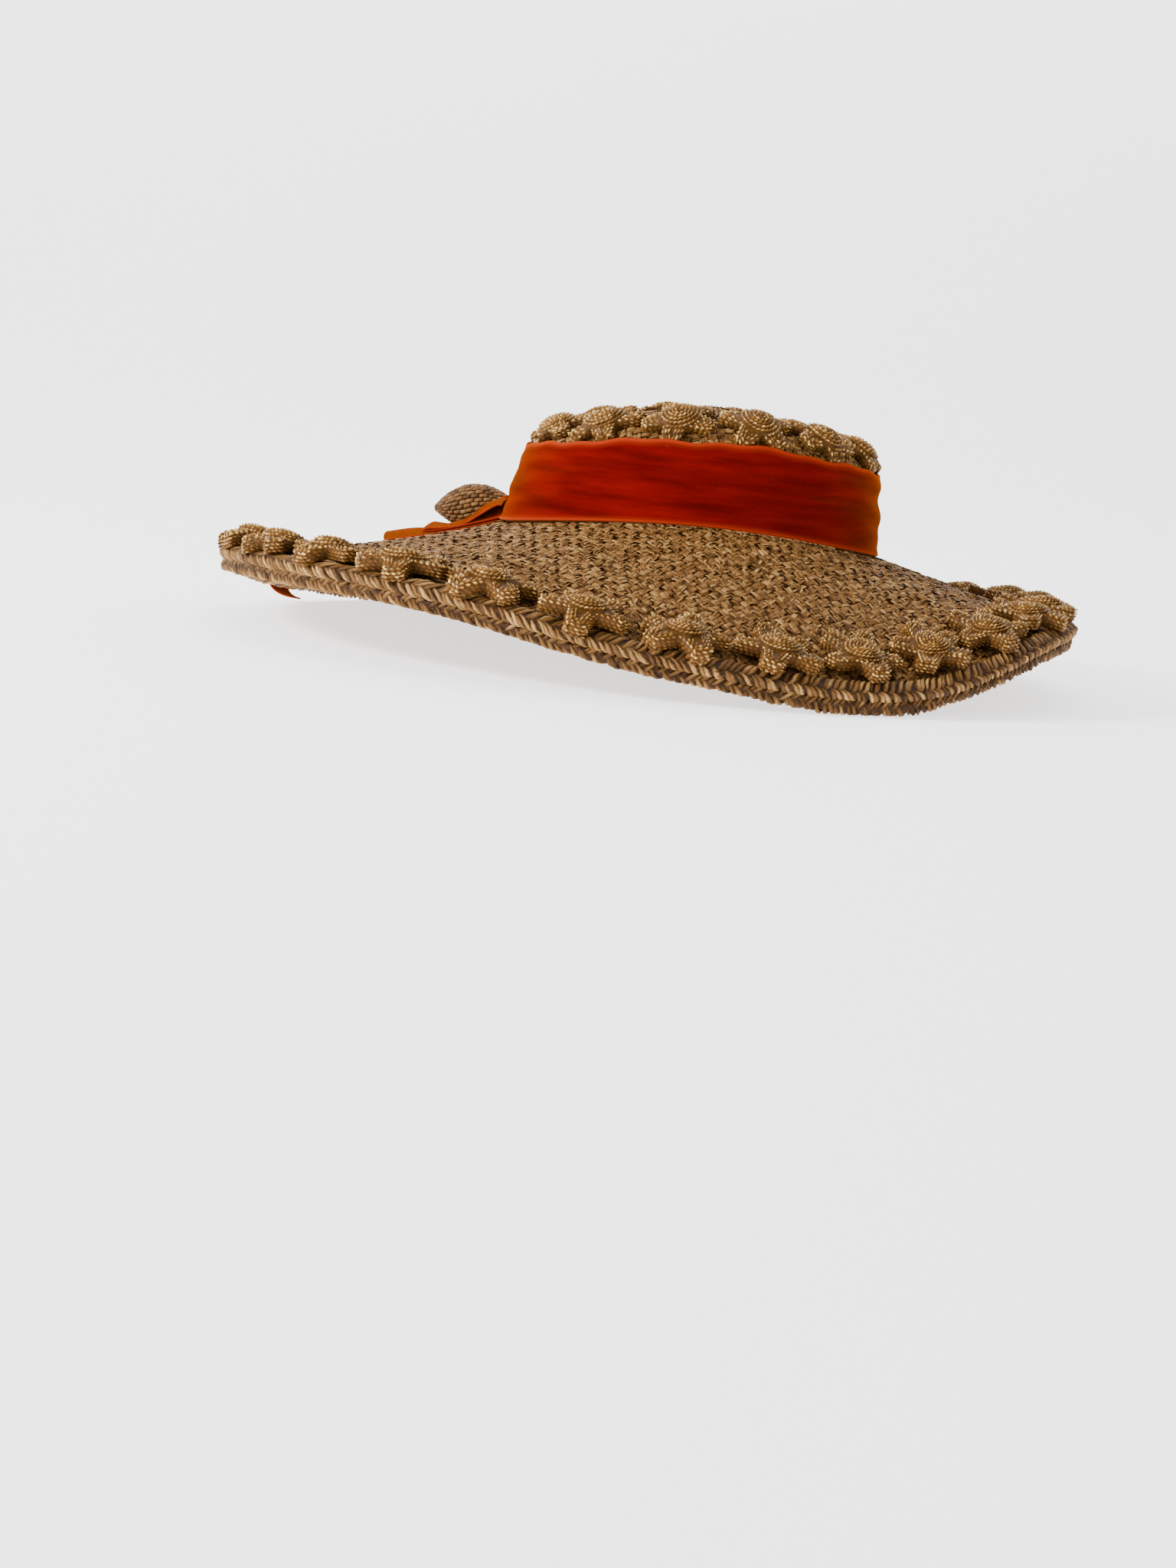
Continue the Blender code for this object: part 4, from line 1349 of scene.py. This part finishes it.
# %% [markdown]
# ## The pod
#
# The real pod is an almond plaited from broad flat straws, which show as tiles with dark gaps. Rings of tiles
# on a spun profile are simpler than real strips, and look the same at this size. Every second tile is shifted
# by half a tile, each tile darkens towards its ends and sides as painted shade, a dark core of painted shade
# closes the gaps, and a small round nub ends the pod.

# %% Pod
POD_LENGTH = 0.050
POD_RADIUS = 0.0125
POD_MIDDLE_OUT = 0.0253
POD_BEARING = 153.5
POD_LIFT = 0.0131
POD_NOSE_UP = math.radians(13.0)
POD_AROUND = 28
POD_ALONG = 11
TILE_STATIONS = np.array([-1.0, -0.82, 0.0, 0.82, 1.0])
TILE_SIDES = np.array([-1.0, -0.6, 0.6, 1.0])
TILE_HEIGHTS = np.array([-0.0009, 0.0, 0.0003, 0.0, -0.0009])
TILE_DROPS = np.array([-0.0007, 0.0, 0.0, -0.0007])
# Painted shade: each tile darkens to nothing at its ends and sides, where it meets its neighbours
TILE_END_PAINTED_SHADE = np.array([0.0, 0.95, 1.05, 0.95, 0.0])
TILE_SIDE_PAINTED_SHADE = np.array([0.0, 1.0, 1.0, 0.0])
TILE_HALF_LENGTH = 0.52
TILE_HALF_WIDTH = 0.49
TILE_SUNK = 0.0002
POD_WIND = 0.5
POD_CORE_GRID = (20, 28)
POD_CORE_SUNK = 0.0009
# The pod's core is dark as painted shade in the gaps between the tiles
POD_CORE_PAINTED_SHADE = 0.08
NUB_GRID = (8, 12)
NUB_HALF_LENGTH = 0.0014
NUB_RADIUS = 0.0024
NUB_INSIDE = 0.0016
NUB_TONE = 0.6

point, out, _, normal = brim_frame(POD_BEARING, POD_MIDDLE_OUT / brim_depth(POD_BEARING))
pod_axis = out * math.cos(POD_NOSE_UP) + normal * math.sin(POD_NOSE_UP)
pod_side = unit(np.cross(normal, pod_axis))
pod_top = np.cross(pod_axis, pod_side)
pod_middle = point + normal * POD_LIFT


def pod_grid(first, last, counts):
    """Shares along the pod and turns round it, as a grid."""
    turns = np.linspace(0, 2 * math.pi, counts[1], endpoint=False)
    return np.meshgrid(np.linspace(first, last, counts[0]), turns, indexing="ij")


def pod_ring(turn):
    """The way out from the pod's axis."""
    return np.cos(turn)[..., None] * pod_side + np.sin(turn)[..., None] * pod_top


def on_pod(share, turn, lift):
    """Points of the pod: share runs from its tip to its other end, turn goes round it."""
    radius = POD_RADIUS * np.sin(math.pi * np.clip(share, 0.001, 0.999)) ** 0.75 + lift
    along = pod_axis * (POD_LENGTH * (0.5 - share))[..., None]
    return pod_middle + along + pod_ring(turn) * radius[..., None]


course, place = [
    grid.ravel() for grid in np.meshgrid(np.arange(POD_ALONG), np.arange(POD_AROUND), indexing="ij")
]
tiles = len(course)
# Every second place round the pod is half a tile further along
tile_share = (course + 0.5 + 0.5 * (place % 2))[:, None, None] / POD_ALONG + scatter(0.006, tiles)
tile_turn = 2 * math.pi * place[:, None, None] / POD_AROUND + scatter(0.012, tiles)
tile_heights = TILE_HEIGHTS[:, None] + TILE_DROPS + scatter(0.0001, tiles)
share = np.clip(tile_share + TILE_STATIONS[:, None] * TILE_HALF_LENGTH / POD_ALONG, 0.01, 0.99)
# The courses of tiles wind a little round the pod
turn = tile_turn + TILE_SIDES * TILE_HALF_WIDTH * 2 * math.pi / POD_AROUND + POD_WIND * (share - 0.5)
tile_points = on_pod(share, turn, tile_heights - TILE_SUNK)
tile_faces = patch_faces(tiles, len(TILE_STATIONS), len(TILE_SIDES))
tile_tones = own_tones(tiles, 0.54, 0.12, 0.2, 0.9, TILE_END_PAINTED_SHADE, TILE_SIDE_PAINTED_SHADE)
share, turn = pod_grid(0.0, 1.0, POD_CORE_GRID)
core_points = on_pod(share, turn, -POD_CORE_SUNK * np.sin(math.pi * share))
share, turn = pod_grid(0.02, 0.98, NUB_GRID)
along = NUB_HALF_LENGTH * np.cos(math.pi * share) - NUB_INSIDE
nub_points = pod_middle + pod_axis * POD_LENGTH * 0.5 + pod_axis * along[..., None]
nub_points = nub_points + pod_ring(turn) * (NUB_RADIUS * np.sin(math.pi * share))[..., None]
add_piece("plaited_pod", [
    (tile_points, tile_faces, tile_tones),
    (core_points, patch_faces(1, *POD_CORE_GRID, closed=True), POD_CORE_PAINTED_SHADE),
    (nub_points, patch_faces(1, *NUB_GRID, closed=True), NUB_TONE),
], pod_straw, ["straw_pod"])
print("tiles of the pod:", tiles)
